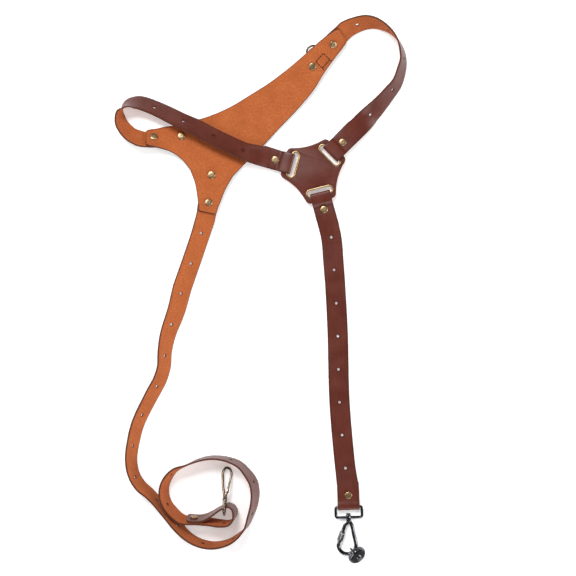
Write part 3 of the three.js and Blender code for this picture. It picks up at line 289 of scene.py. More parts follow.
def flesh_leather(pale, deep):
    """The rough tan side: short nap, matted fibres and darker clouds in an even tan."""
    side = Finish("flesh_side")
    cut, rim = side.cut_map()
    clouds = side.noise(cut, 55, 4)
    streaks = side.noise(side.stretched(cut, (260, 900, 900)), 1, 3, 0.6)
    fibres = side.noise(cut, 1500, 4, 0.7)
    mottles = side.noise(cut, 420, 4, 0.65)
    darker = tuple(0.55 * c for c in deep)
    colour = side.tint(side.between(clouds, 0.3, 0.72, 0, 0.6), pale, deep)
    colour = side.tint(side.between(mottles, 0.4, 0.66, 0, 0.75), colour, deep)
    colour = side.tint(side.between(streaks, 0.52, 0.8, 0, 0.35), colour, darker)
    colour = side.tint(side.between(fibres, 0.5, 0.72, 0, 0.5), colour, darker)
    colour = side.tint(side.between(rim, 0.0004, 0.0016, 0.55, 0), colour, darker)
    side.fed("Base Color", colour)
    side.fixed(Roughness=0.94, Specular_IOR_Level=0.12, Sheen_Weight=0.03, Sheen_Roughness=0.6)
    side.relief((clouds, 0.25, 0.0006), (mottles, 0.5, 0.0004), (streaks, 0.35, 0.0002),
                (fibres, 0.6, 0.00015))
    return side.material


def grain_leather(deep, warm):
    """The dyed side: close pores, fine drawn lines along the strap and a soft wax shine."""
    side = Finish("grain_side")
    cut, rim = side.cut_map()
    clouds = side.noise(cut, 42, 4)
    lines = side.noise(side.stretched(cut, (28, 1100, 1100)), 1, 4, 0.6)
    pores = side.nodes.new("ShaderNodeTexVoronoi")
    pores.feature = "DISTANCE_TO_EDGE"
    pores.inputs["Scale"].default_value = 1150
    side.links.new(cut, pores.inputs["Vector"])
    pore = pores.outputs["Distance"]
    pale = tuple(1.45 * c for c in warm)
    dark = tuple(0.45 * c for c in deep)
    colour = side.tint(side.between(clouds, 0.3, 0.7), deep, warm)
    colour = side.tint(side.between(lines, 0.5, 0.78, 0, 0.45), colour, pale)
    colour = side.tint(side.between(pore, 0.0, 0.1, 0.35, 0), colour, dark)
    colour = side.tint(side.between(rim, 0.0004, 0.0022, 0.75, 0), colour, dark)
    side.fed("Base Color", colour)
    side.fed("Roughness", side.between(clouds, 0.3, 0.7, 0.33, 0.44))
    side.fixed(Specular_IOR_Level=0.32)
    side.relief((clouds, 0.2, 0.0006), (lines, 0.2, 0.0001), (pore, 0.18, 0.0001))
    return side.material


def burnished_edge(dark, rubbed):
    """The cut edge, dyed and rubbed to a dark line with the layers just showing."""
    rim = Finish("burnished_edge")
    layers = rim.noise(rim.place(), 900, 3, 0.6)
    rim.fed("Base Color", rim.tint(layers, dark, rubbed))
    rim.fed("Roughness", rim.between(layers, 0.3, 0.7, 0.55, 0.75))
    rim.fixed(Specular_IOR_Level=0.15)
    rim.relief((layers, 0.3, 0.0001))
    return rim.material


flesh = flesh_leather((0.47, 0.13, 0.04), (0.3, 0.072, 0.019))
grain = grain_leather((0.078, 0.014, 0.0078), (0.112, 0.0225, 0.0128))
edge = burnished_edge((0.045, 0.013, 0.008), (0.13, 0.04, 0.021))


def dress_leather(obj, outward, inward, rim):
    """Gives the three materials in this order: outward face, inward face, cut edge."""
    for material in (outward, inward, rim):
        obj.data.materials.append(material)


def thicken(obj, thickness, offset, rounding, sharp):
    """Gives a sheet its wall and rim, and rounds the cut edge."""
    finish_with(obj, "SOLIDIFY", thickness=thickness, offset=offset, use_even_offset=True,
                material_offset=1, material_offset_rim=2)
    finish_with(obj, "BEVEL", width=rounding, segments=3, angle_limit=math.radians(sharp),
                material=2, use_clamp_overlap=False)


def keep_cut_map(obj, flat, rim):
    """Stores where each point lies on the flat cut piece, and how far from its edge."""
    uv = obj.data.uv_layers.new(name="cut")
    loops = np.empty(len(obj.data.loops), int)
    obj.data.loops.foreach_get("vertex_index", loops)
    uv.data.foreach_set("uv", np.ascontiguousarray(flat[loops], dtype=np.float32).ravel())
    attribute = obj.data.attributes.new("rim", "FLOAT", "POINT")
    attribute.data.foreach_set("value", np.asarray(rim, dtype=np.float32))


yoke = piece_from("yoke_leather", *yoke_sheet())
dress_leather(yoke, flesh, grain, edge)
thicken(yoke, YOKE_THICKNESS, 1, 0.5 * MM, 50)
co = coordinates(yoke)
outline = [body_left, body_right]
for edges, steps, tip, seam_column in patches[1:]:
    outline += edges
edge_places = np.vstack([through(line, np.linspace(0, 1, 300)) for line in outline])[:, :2]
rim_distance = np.array([np.sqrt(((edge_places - p[:2])**2).sum(1).min()) for p in co])
keep_cut_map(yoke, co[:, :2] - YOKE_CROTCH, rim_distance)
smooth(yoke)
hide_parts("back_yoke")
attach(yoke, "harness")

# Straps: one inch leather cut in lengths, grain side dyed, flesh side left rough, corners
# rounded and a row of holes punched down the middle. Each is laid along the route of its
# solid, so that it curls, stands on edge and folds where the solid does.

PUNCH_PATCH = 4.3 * MM
HOLE_LIMIT = 4 * MM
ROW_PITCH = 2.2 * MM
ROW_BEND = 9.0
FINE_PITCH = 0.3 * MM
PATCH_PARTS = 4
STRAP_THICKNESS = 2.2 * MM
SQUARE_ENDS = (18.4 * MM, 20.2 * MM)


def closed_chains(bm, divides):
    """Closed chains of edges between two faces that the test tells apart, longest first."""
    sharp = {}
    for e in bm.edges:
        if len(e.link_faces) == 2 and divides(*e.link_faces):
            for v in e.verts:
                sharp.setdefault(v, []).append(e)
    loops, seen = [], set()
    for start in sharp:
        if start in seen or len(sharp[start]) != 2:
            continue
        loop, here, came = [start], start, None
        while True:
            seen.add(here)
            onward = [e for e in sharp[here] if e is not came]
            if len(sharp[here]) != 2 or not onward:
                loop = []
                break
            came = onward[0]
            here = came.other_vert(here)
            if here is start:
                break
            loop.append(here)
        if loop:
            loops.append([np.array(v.co) for v in loop])
    return sorted(loops, key=len, reverse=True)


def strap_rails(node, thickness):
    """The two outlines of a strap's solid, and the rims of the holes through it.

    A wall is a face with an upright edge as long as the leather is thick, and an outline runs
    where the walls meet the grain or the flesh side.
    """
    bm = bmesh.new()
    bm.from_mesh(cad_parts[node].data)
    bmesh.ops.remove_doubles(bm, verts=bm.verts, dist=1.5e-5)
    bm.normal_update()
    walls = set()
    for e in bm.edges:
        if abs(e.calc_length() - thickness) < 0.012 * MM:
            one, other = e.verts
            way = (one.co - other.co).normalized()
            if one.normal.dot(way) > 0.25 and other.normal.dot(way) < -0.25:
                walls.update(e.link_faces)
    outlines = closed_chains(bm, lambda one, other: (one in walls) != (other in walls))[:2]
    square = math.radians(68)
    rims = closed_chains(bm, lambda one, other: one.normal.angle(other.normal, 0) > square)
    rims = [loop for loop in rims if len(loop) < 30]
    bm.free()
    return outlines, rims


def turns(ways, after):
    """The angles in degrees between two rows of directions."""
    return np.degrees(np.arccos(np.clip((ways * after).sum(1), -1, 1)))


def split_outline(loop, cap):
    """Cuts an outline loop at its two square ends, and gives its two long sides."""
    points = np.array(loop)
    ahead = np.roll(points, -1, 0) - points
    lengths = np.linalg.norm(ahead, axis=1)
    ahead /= lengths[:, None]
    turn = turns(ahead, np.roll(ahead, 1, 0))
    turn = np.minimum(turn, np.roll(turn, -1))
    ends = [i for i, long in enumerate(lengths) if min(abs(long - c) for c in cap) < 0.05 * MM]
    first, other = sorted(sorted(ends, key=lambda i: -turn[i])[:2])
    return points[first + 1:other + 1], np.vstack([points[other + 1:], points[:first + 1]])[::-1]


class Route:
    """Where a strap runs: its middle, its width direction, its flesh side and its width."""

    def __init__(self, node, starts_near, cap=SQUARE_ENDS, thickness=STRAP_THICKNESS):
        outlines, rims = strap_rails(node, thickness)
        sides = [side for loop in outlines for side in split_outline(loop, cap)]
        near = np.array(starts_near)
        sides = [min(s, s[::-1], key=lambda side: np.linalg.norm(side[0] - near)) for s in sides]
        count = min(len(s) for s in sides)
        sides = [s if len(s) == count else through(s, np.linspace(0, 1, count)) for s in sides]
        lower, upper = sorted((sides[:2], sides[2:]), key=lambda pair: pair[0][0][2])
        lower = sorted(lower, key=lambda side: np.linalg.norm(upper[0][0] - side[0]))
        middle = (upper[0] + upper[1] + lower[0] + lower[1]) / 4
        flesh_side = (upper[0] + upper[1] - lower[0] - lower[1]) / 2
        across = (upper[1] + lower[1] - upper[0] - lower[0]) / 2
        heading = np.gradient(middle, axis=0)
        if (np.cross(heading[3], across[3]) * flesh_side[3]).sum() < 0:
            across = -across
        self.wide = np.linalg.norm(across, axis=1)
        self.thickness = float(np.median(np.linalg.norm(flesh_side, axis=1)))
        self.middle = middle
        self.across = across / self.wide[:, None]
        self.at = np.append(0, np.cumsum(np.linalg.norm(np.diff(middle, axis=0), axis=1)))
        self.length = float(self.at[-1])
        self.holes = self.find_holes(rims)

    def find_holes(self, rims):
        found = []
        for rim in rims:
            if len(rim) < 5:
                continue
            centre = np.mean(rim, axis=0)
            radius = float(np.mean(np.linalg.norm(np.array(rim) - centre, axis=1)))
            if radius > HOLE_LIMIT:
                continue
            start, span = self.middle[:-1], np.diff(self.middle, axis=0)
            share = np.clip(((centre - start) * span).sum(1) / (span**2).sum(1), 0, 1)
            gap = np.linalg.norm(start + share[:, None] * span - centre, axis=1)
            i = gap.argmin()
            place = self.at[i] + share[i] * (self.at[i + 1] - self.at[i])
            if all(abs(place - s) > HOLE_LIMIT for s, r in found):
                found.append((place, radius))
        return sorted(found)

    def read(self, table, places):
        """Reads a table of values along the route as a smooth curve."""
        at = self.at
        slope = np.gradient(table, at, axis=0)
        i = np.clip(np.searchsorted(at, places) - 1, 0, len(at) - 2)
        step = at[i + 1] - at[i]
        f = np.clip((places - at[i]) / step, 0, 1)
        f, step = f[:, None], step[:, None]
        return eased(f, table[i], table[i + 1], step * slope[i], step * slope[i + 1])

    def frames(self, places):
        """At each place: the middle, and the ways along, across and out of the leather."""
        p = self.read(self.middle, places)
        w = self.read(self.across, places)
        hair = 0.0002
        t = self.read(self.middle, places + hair) - self.read(self.middle, places - hair)
        t /= np.linalg.norm(t, axis=1)[:, None]
        w -= t * (w * t).sum(1)[:, None]
        w /= np.linalg.norm(w, axis=1)[:, None]
        return p, t, w, np.cross(t, w)


def flat_rows(route):
    """Where the rows across a flat strap go: close at its ends and folds, and at each hole."""
    fine = np.linspace(0, route.length, int(route.length / FINE_PITCH))
    p, t, w, n = route.frames(fine)
    bend = turns(t[1:], t[:-1])
    fixed = [0.0, 0.3 * MM, 0.9 * MM, 1.8 * MM, 3.2 * MM, 5 * MM]
    fixed += [route.length - s for s in fixed]
    blocked = [(s - PUNCH_PATCH, s + PUNCH_PATCH) for s, r in route.holes]
    fixed += [s for span in blocked for s in span]
    fixed.sort()
    rows = []
    for a, b in zip(fixed, fixed[1:]):
        if b - a < 1e-6:
            continue
        rows.append(a)
        if any(abs(a - low) < 1e-7 and abs(b - high) < 1e-7 for low, high in blocked):
            rows += list(np.linspace(a, b, PATCH_PARTS + 1)[1:-1])
            continue
        inside = (fine[:-1] >= a) & (fine[:-1] < b)
        need = max((b - a) / ROW_PITCH, bend[inside].sum() / ROW_BEND)
        parts = max(1, math.ceil(need))
        effort = np.cumsum(FINE_PITCH / ROW_PITCH + bend[inside] / ROW_BEND)
        if parts > 1 and len(effort) > parts:
            marks = np.searchsorted(effort, np.linspace(0, effort[-1], parts + 1)[1:-1])
            rows += list(fine[:-1][inside][np.clip(marks, 0, len(effort) - 1)])
    rows.append(route.length)
    return sorted(set(round(r, 7) for r in rows))


def half_width(route, s, corner):
    """Half the strap's width at s, less at its two ends, where the corners are rounded."""
    wide = np.interp(s, route.at, route.wide)
    full = route.wide[len(route.wide) // 3]
    inside = max(0.0, corner - min(s, route.length - s))
    if inside == 0:
        return wide / 2
    base = max(full, route.wide[5 if s < corner else -6])
    return base / 2 - corner + math.sqrt(max(corner**2 - inside**2, 0))


def flat_strap(name, route, corner):
    """The cut strap lying flat: length along X, width along Y, with its holes punched."""
    rows = flat_rows(route)
    half = [half_width(route, s, corner) for s in rows]
    narrow = min(PUNCH_PATCH, 0.36 * min(route.wide))
    points, faces, index = [], [], {}

    def point(x, y):
        key = (round(x * 1e6), round(y * 1e6))
        if key not in index:
            index[key] = len(points)
            points.append((x, y, 0))
        return index[key]

    def columns(h):
        inner = [max(-h, min(h, y)) for y in np.linspace(-narrow, narrow, PATCH_PARTS + 1)]
        outer = list(np.linspace(narrow, h, 4)[1:]) if h > narrow else []
        return [-y for y in outer[::-1]] + inner + outer

    for i in range(len(rows) - 1):
        a, b = rows[i], rows[i + 1]
        punched = any(abs((a + b) / 2 - s) < PUNCH_PATCH for s, r in route.holes)
        left, right = columns(half[i]), columns(half[i + 1])
        for j in range(len(left) - 1):
            if punched and abs(left[j] + left[j + 1]) < 2 * narrow:
                continue
            faces.append([point(a, left[j]), point(b, right[j]), point(b, right[j + 1]),
                          point(a, left[j + 1])])
    for s, radius in route.holes:
        run = np.linspace(-1, 1, PATCH_PARTS + 1)[:-1]
        ring = [(u, -1) for u in run] + [(1, v) for v in run]
        ring += [(-u, -v) for u, v in ring]
        previous = [point(s + u * PUNCH_PATCH, v * narrow) for u, v in ring]
        angles = [math.atan2(v, u) for u, v in ring]
        for reach in (radius * 1.45, radius * 1.14, radius):
            inner_ring = [len(points) + k for k in range(len(ring))]
            points += [(s + reach * math.cos(angle), reach * math.sin(angle), 0) for angle in angles]
            for k in range(len(ring)):
                m = (k + 1) % len(ring)
                faces.append([previous[k], previous[m], inner_ring[m], inner_ring[k]])
            previous = inner_ring
    return piece_from(name, points, faces)


def lay_strap(name, node, starts_near, corner=5 * MM, seed=0, **sizes):
    """Cuts a strap flat, punches it, rounds its edges and lays it along its route."""
    route = Route(node, starts_near, **sizes)
    strap = flat_strap(name, route, corner)
    dress_leather(strap, flesh, grain, edge)
    thicken(strap, route.thickness, 0, 0.2 * route.thickness, 60)
    flat = coordinates(strap)
    along, aside, height = flat[:, 0], flat[:, 1], flat[:, 2]
    half = np.array([half_width(route, min(max(s, 0), route.length), 0.0001) for s in along])
    rim = np.minimum(half - np.abs(aside), np.minimum(along, route.length - along))
    shallow = np.zeros(len(flat))
    for s, radius in route.holes:
        away = np.hypot(along - s, aside)
        rim = np.minimum(rim, np.maximum(away - radius, 0))
        dish = 0.28 if radius > 2.2 * MM else 0.13
        shallow += dish * MM * np.exp(-np.maximum(away - radius * 1.1, 0) / (1.1 * MM))
    draw = random.Random(seed)
    phases = [draw.uniform(0, 6.3) for k in range(4)]
    wave = (np.sin(along * 95 + phases[0]) * 0.12 + np.sin(along * 233 + phases[1]) * 0.06
            + np.sin(along * 150 + aside * 190 + phases[2]) * 0.07
            + np.sin(along * 61 - aside * 260 + phases[3]) * 0.07) * MM
    ends = np.clip(np.minimum(along, route.length - along) / 0.05, 0, 1)
    outer = np.abs(height) > 0.3 * route.thickness
    height = height + wave * ends * 0.8 - np.sign(height) * shallow * outer
    places = np.clip(along, 0, route.length)
    p, t, w, n = route.frames(places)
    laid = p + w * aside[:, None] + n * height[:, None] + t * (along - places)[:, None]
    keep_cut_map(strap, flat[:, :2] + np.array([seed * 0.13, 0]), np.maximum(rim, 0))
    move_points(strap, laid)
    smooth(strap, 40)
    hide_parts(node)
    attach(strap, "harness")


lay_strap("right_strap", "right_shoulder_strap", (0.10, 0.28, 0.01), seed=1)
lay_strap("left_strap", "left_shoulder_strap", (-0.09, 0.19, 0.01), seed=2)
lay_strap("front_strap", "front_drop_strap", (0.07, 0.12, 0.0), seed=3)
lay_strap("rear_strap", "rear_drop_strap", (-0.06, 0.08, 0.01), seed=4)
lay_strap("ring_tab", "d_ring_tab", (0.076, 0.28, 0.0), corner=1 * MM, seed=5,
          cap=(11.6 * MM,), thickness=1.4 * MM)

# The tab's stitching: waxed dark thread in a box with a line from two of its corners, sewn
# through the yoke over the folded tab. Each stitch is a short thread that dips into it.

THREAD = 0.6 * MM
STITCH_PITCH = 3.2 * MM


def yoke_surface(x, y):
    """The place on top of the yoke, and its normal there."""
    return yoke.ray_cast(Vector((x, y, 0.2)), Vector((0, 0, -1)))[1:3]


def stitch_line(start, end):
    """The two ends of each stitch along a line, with a short gap between them."""
    count = max(1, round(np.linalg.norm(end - start) / STITCH_PITCH))
    for i in range(count):
        yield start + (end - start) * (i + 0.14) / count, start + (end - start) * (i + 0.86) / count


def waxed_thread(dark, worn):
    cord = Finish("waxed_thread")
    twist = cord.noise(cord.place(), 2400, 2)
    cord.fed("Base Color", cord.tint(twist, dark, worn))
    cord.fixed(Roughness=0.75, Specular_IOR_Level=0.15)
    cord.relief((twist, 0.4, 0.0001))
    return cord.material


thread = waxed_thread((0.03, 0.008, 0.004), (0.09, 0.026, 0.013))


def rod(points, radius, closed=False, rings=6):
    """A round rod or thread through points, made a mesh."""
    curve = bpy.data.curves.new("rod", "CURVE")
    curve.dimensions = "3D"
    curve.bevel_depth = radius
    curve.bevel_resolution = rings
    curve.use_fill_caps = True
    spline = curve.splines.new("POLY")
    spline.points.add(len(points) - 1)
    for knot, p in zip(spline.points, points):
        knot.co = (*p, 1)
    spline.use_cyclic_u = closed
    obj = bpy.data.objects.new("rod", curve)
    bpy.context.scene.collection.objects.link(obj)
    take(obj)
    bpy.ops.object.convert(target="MESH")
    return bpy.context.object


def fuse(objects):
    """Joins loose solids into one piece."""
    deselect()
    for obj in objects:
        obj.select_set(True)
    bpy.context.view_layer.objects.active = objects[0]
    bpy.ops.object.join()
    return objects[0]


TAB_TURN = math.radians(137)
tab_centre = np.array([76.3, 284.6]) * MM
tab_along = np.array([math.cos(TAB_TURN), math.sin(TAB_TURN)])
tab_aside = np.array([-tab_along[1], tab_along[0]])


def on_tab(ahead, aside):
    return tab_centre + tab_along * ahead * MM + tab_aside * aside * MM


box = [on_tab(-6, -7), on_tab(5, -7), on_tab(5, 7), on_tab(-6, 7)]
lines = [(box[i], box[(i + 1) % 4]) for i in range(4)]
lines += [(box[0], on_tab(-20, -11)), (box[3], on_tab(-17, 8))]
stitches = []
for start, end in lines:
    for a, b in stitch_line(start, end):
        arc = []
        for share in np.linspace(0, 1, 7):
            x, y = a + (b - a) * share
            place, normal = yoke_surface(x, y)
            if place is None or place.z < 1e-3:
                continue
            lift = 0.2 * MM - 0.9 * MM * abs(2 * share - 1)**3
            arc.append(np.array(place) + np.array(normal) * lift)
        if len(arc) == 7:
            stitches.append(rod(arc, THREAD, rings=2))
stitching = smooth(fuse(stitches), 60)
stitching.name = stitching.data.name = "tab_stitching"
stitching.data.materials.append(thread)
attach(stitching, "harness")

# Screw posts: antique brass, two parts screwed together through the leather, a low domed
# head with a centre dimple in front and a slotted head behind.


def worn_metal(name, base, worn, rough, patina, amount, dents=1.0):
    """Plated metal: tarnish in clouds, fine scratches, and the worn colour on the rest."""
    metal = Finish(name)
    place = metal.place()
    clouds = metal.noise(place, 130, 3, 0.55)
    scratches = metal.noise(metal.stretched(place, (900, 5200, 2600)), 1, 3, 0.6)
    colour = metal.tint(metal.between(clouds, 0.35, 0.65), base, worn)
    colour = metal.tint(metal.between(clouds, 0.55, 0.75, 0, amount), colour, patina)
    metal.fed("Base Color", colour)
    metal.fixed(Metallic=1.0)
    metal.fed("Roughness", metal.between(scratches, 0.3, 0.7, rough * 0.8, rough * 1.35))
    metal.relief((clouds, 0.05 * dents, 0.0001), (scratches, 0.04 * dents, 0.00005))
    return metal.material


antique_brass = worn_metal("antique_brass", (0.3, 0.195, 0.1), (0.46, 0.32, 0.185), 0.34,
                           (0.12, 0.075, 0.03), 0.6)


def spun(name, profile, steps=48):
    """Turns a profile of (radius, height) in millimetres round Z into a closed solid."""
    points = [(r * MM, 0, h * MM) for r, h in profile]
    edges = [(i, i + 1) for i in range(len(points) - 1)]
    mesh = bpy.data.meshes.new(name)
    mesh.from_pydata(points, edges, [])
    obj = bpy.data.objects.new(name, mesh)
    bpy.context.scene.collection.objects.link(obj)
    take(obj)
    bpy.ops.object.mode_set(mode="EDIT")
    bpy.ops.mesh.select_all(action="SELECT")
    bpy.ops.mesh.spin(steps=steps, angle=2 * math.pi, center=(0, 0, 0), axis=(0, 0, 1))
    bpy.ops.mesh.select_all(action="SELECT")
    bpy.ops.mesh.remove_doubles(threshold=1e-6)
    bpy.ops.mesh.normals_make_consistent(inside=False)
    bpy.ops.object.mode_set(mode="OBJECT")
    return obj


def put(obj, matrix):
    """Moves a mesh to its place, and leaves its object at the origin."""
    obj.data.transform(matrix)
    obj.data.update()
    return obj


def plated(obj, name, metal, body, node, degrees=50):
    obj.name = obj.data.name = name
    obj.data.materials.append(metal)
    smooth(obj, degrees)
    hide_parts(node)
    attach(obj, body)


def axis_frame(centre, axis):
    turn = Vector((0, 0, 1)).rotation_difference(Vector(axis))
    return Matrix.Translation(Vector(centre)) @ turn.to_matrix().to_4x4()


def screw_place(node):
    """The middle and the axis of a turned solid, with the axis pointing up."""
    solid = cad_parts[node]
    spread = sum(f.area * np.outer(f.normal, f.normal) for f in solid.data.polygons)
    values, vectors = np.linalg.eigh(spread)
    odd = 0 if abs(values[0] - values[1]) > abs(values[2] - values[1]) else 2
    axis = vectors[:, odd] * np.sign(vectors[2, odd])
    co = coordinates(solid)
    return (co.min(0) + co.max(0)) / 2, axis, np.ptp(co @ axis)


SCREW_HEAD = 4.75
SCREW_SHANK = 2.3
HEAD_HEIGHT = 2.1
CUT_WIDTH = 0.9 * MM
# One head from its middle out: radius as a share of the head's, depth below its top in mm
front_head = [(0, 0.3), (0.095, 0.28), (0.131, 0.03), (0.168, 0), (0.45, 0.05), (0.7, 0.16),
              (0.86, 0.32), (0.95, 0.55), (1, 1.0), (0.99, 1.6), (0.95, 2.1)]
back_head = [(0.95, 2.1), (0.99, 1.6), (1, 1.1), (0.97, 0.7), (0.88, 0.35), (0.7, 0.12), (0, 0)]


def screw_post(node):
    """Turns a post with its two heads, cuts the slot behind and sets it in its hole."""
    centre, axis, length = screw_place(node)
    half = length / 2 / MM
    seat = half - HEAD_HEIGHT
    profile = [(r * SCREW_HEAD, half - down) for r, down in front_head]
    profile += [(SCREW_SHANK, seat), (SCREW_SHANK, -seat)]
    profile += [(r * SCREW_HEAD, down - half) for r, down in back_head]
    post = spun(node, profile)
    bpy.ops.mesh.primitive_cube_add(size=1, location=(0, 0, -length / 2),
                                    scale=(2.2 * SCREW_HEAD * MM, CUT_WIDTH, 1.1 * MM))
    slot_cutter = bpy.context.object
    finish_with(post, "BOOLEAN", object=slot_cutter, operation="DIFFERENCE", solver="EXACT")
    bpy.data.objects.remove(slot_cutter)
    put(post, axis_frame(centre, axis))
    plated(post, f"brass_{node}", antique_brass, "harness", node, 38)


for node in sorted(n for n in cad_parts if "_screw" in n):
    screw_post(node)

# The chest plate: thick firm leather, grain side up, three lobes, each with a long slot
# lined by a brass eyelet that the strap folds through.

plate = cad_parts["chest_plate"].copy()
plate.data = plate.data.copy()
for key in [k for k in plate.keys() if k.startswith("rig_")]:
    del plate[key]
plate.parent = None
plate.matrix_world = Matrix.Identity(4)
bpy.context.scene.collection.objects.link(plate)
plate.name = plate.data.name = "plate_leather"
plate.data.materials.clear()
take(plate)
bpy.ops.object.mode_set(mode="EDIT")
bpy.ops.mesh.select_all(action="SELECT")
bpy.ops.mesh.remove_doubles(threshold=1.5e-5)
bpy.ops.mesh.dissolve_limited(angle_limit=math.radians(2))
bpy.ops.object.mode_set(mode="OBJECT")
finish_with(plate, "BEVEL", width=0.7 * MM, segments=4, angle_limit=math.radians(60),
            use_clamp_overlap=True)
plate_co = coordinates(plate)
dress_leather(plate, grain, flesh, edge)
for f in plate.data.polygons:
    f.material_index = 0 if f.normal.z > 0.55 else 1 if f.normal.z < -0.55 else 2
keep_cut_map(plate, plate_co[:, :2], np.full(len(plate_co), 0.01))
smooth(plate, 40)
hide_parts("chest_plate")
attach(plate, "harness")

eyelet_brass = worn_metal("eyelet_brass", (0.3, 0.2, 0.1), (0.46, 0.33, 0.18), 0.38,
                          (0.12, 0.08, 0.035), 0.3, 0.1)
SLOT = (30.6 * MM, 7 * MM)
EYELET_RIM = 2.2 * MM
RIM_HEIGHT = 0.9 * MM
# Reach as a share of EYELET_RIM; height as a share of the whole height on the sleeve and of
# RIM_HEIGHT on the rim
eyelet_sleeve = [(0.44, 0.05), (0.3, 0), (0.12, 0), (0.02, 0.05)]
eyelet_rim = [(0.02, 0.8333), (0.12, 0.95), (0.35, 1.0), (0.65, 0.96667), (0.88, 0.8), (0.98, 0.5333),
              (1, 0.3), (0.96, 0.0333), (0.44, 0)]


def slot_outline(node):
    """Middle, length direction and heights of the oblong eyelet that the frame holds."""
    co = coordinates(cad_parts[node])
    middle = (co.min(0) + co.max(0)) / 2
    flat = co[:, :2] - middle[:2]
    values, vectors = np.linalg.eigh(flat.T @ flat)
    return middle, vectors[:, 1], co[:, 2].min(), co[:, 2].max()


def oblong_eyelet(side):
    """Sweeps the rolled rim and short sleeve of an eyelet round its slot."""
    node = f"slot_eyelet_{side}"
    middle, lengthwise, low, high = slot_outline(node)
    across = np.array([-lengthwise[1], lengthwise[0]])
    straight = lengthwise * (SLOT[0] - SLOT[1]) / 2
    stations = []
    for end in (1, -1):
        for k in range(17):
            angle = math.pi * (k / 16 - 0.5)
            out = end * (lengthwise * math.cos(angle) + across * math.sin(angle))
            stations.append((middle[:2] + end * straight + out * SLOT[1] / 2, out))
        for k in range(1, 8):
            out = end * across
            stations.append((middle[:2] + end * straight * (1 - k / 4) + out * SLOT[1] / 2, out))
    section = [(reach, low + (high - low) * rise) for reach, rise in eyelet_sleeve]
    section += [(reach, high - RIM_HEIGHT * (1 - rise)) for reach, rise in eyelet_rim]
    points = [(*(spot + out * reach * EYELET_RIM), height)
              for spot, out in stations for reach, height in section]
    count, size = len(stations), len(section)
    corner = np.arange(count * size).reshape(count, size)
    after = np.roll(corner, -1, 0)
    faces = [(corner[i, j - 1], after[i, j - 1], after[i, j], corner[i, j])
             for i in range(count) for j in range(size)]
    eyelet = piece_from("eyelet", points, faces)
    take(eyelet)
    bpy.ops.object.mode_set(mode="EDIT")
    bpy.ops.mesh.select_all(action="SELECT")
    bpy.ops.mesh.normals_make_consistent(inside=False)
    bpy.ops.object.mode_set(mode="OBJECT")
    plated(eyelet, f"eyelet_{side}", eyelet_brass, "harness", node, 60)


for side in ("right", "left", "front"):
    oblong_eyelet(side)

# The rectangular loop: gunmetal-plated rod round the strap's lower fold, with a bored boss
# in the middle of its lower bar for the swivel.

gunmetal = worn_metal("gunmetal_plate", (0.05, 0.05, 0.055), (0.12, 0.12, 0.13), 0.13,
                      (0.014, 0.014, 0.016), 0.5)


def local_frame(origin, turn, tilt):
    return (Matrix.Translation(Vector(origin)) @ Matrix.Rotation(math.radians(turn), 4, "Z")
            @ Matrix.Rotation(math.radians(tilt), 4, "X"))


def rounded_rectangle(width, height, corner):
    out = []
    for x, y, start in ((1, 1, 0), (-1, 1, 90), (-1, -1, 180), (1, -1, 270)):
        for k in range(9):
            angle = math.radians(start + 90 * k / 8)
            out.append(((x * (width / 2 - corner) + corner * math.cos(angle)) * MM,
                        (y * (height / 2 - corner) + corner * math.sin(angle)) * MM, 0))
    return out


def barrel(radius, top, bottom, edge_round, bore=0):
    """A turned barrel along Y, from top down to bottom, in the local plane of a fitting."""
    e = edge_round
    outer = [(radius - e, bottom), (radius - e * 0.3, bottom + e * 0.3), (radius, bottom + e),
             (radius, top - e), (radius - e * 0.3, top - e * 0.3), (radius - e, top)]
    if bore:
        profile = [(bore, bottom + e * 0.5), (bore + e * 0.5, bottom), *outer,
                   (bore + e * 0.5, top), (bore, top - e * 0.5), (bore, bottom + e * 0.5)]
    else:
        profile = [(0, bottom), *outer, (0, top)]
    obj = spun("barrel", profile, 40)
    return put(obj, Matrix.Rotation(math.radians(-90), 4, "X"))


LOOP_BAR = (0.109, -0.2706, 0.0043)
LOOP_WIDTH = 32.8
LOOP_DEPTH = 13.6
LOOP_CORNER = 3
LOOP_ROD = 1.8 * MM
SWIVEL = (0.108775, -0.284216, 0.0035)
BOSS_HALF = 3.5
loop_frame = local_frame(LOOP_BAR, 2, 3.366) @ Matrix.Translation((0, -LOOP_DEPTH / 2 * MM, 0))
carabiner_frame = local_frame(SWIVEL, 2, -1.3)
loop_points = rounded_rectangle(LOOP_WIDTH, LOOP_DEPTH, LOOP_CORNER)
loop_rod = put(rod(loop_points, LOOP_ROD, closed=True), loop_frame)
loop_boss = put(barrel(3.2, BOSS_HALF, -BOSS_HALF, 0.6, bore=1.9), carabiner_frame)
loop = fuse([loop_rod, loop_boss])
plated(loop, "rectangular_loop", gunmetal, "harness", "swivel_loop")

# The carabiner: one bent gunmetal rod that swivels in the loop's boss, a gate hinged on a
# riveted tongue, and a ribbed sleeve that slides over the gate's end to lock it.

CARABINER_WIDTH = 23
CARABINER_LENGTH = 45
CARABINER_ROD = 2.3
GATE_LENGTH = 22.9
GATE_ROD = 2.25
GATE_PIVOT = np.array([-4.8, -9.6, 0])
NOSE_GAP = 0.4
# Round the bend from the stem: aside as a share of the width, down as a share of the length
carabiner_rows = [
    (0.03, 0.12), (0.135, 0.175), (0.2, 0.29), (0.245, 0.445), (0.305, 0.6), (0.355, 0.76),
    (0.295, 0.885), (0.215, 0.935), (0.115, 0.975), (-0.12, 1.005), (-0.36, 0.97), (-0.53, 0.885),
    (-0.6, 0.8), (-0.604, 0.748),
]
nose_way = np.array([-8.1, -21.4, 0]) / math.hypot(8.1, 21.4)


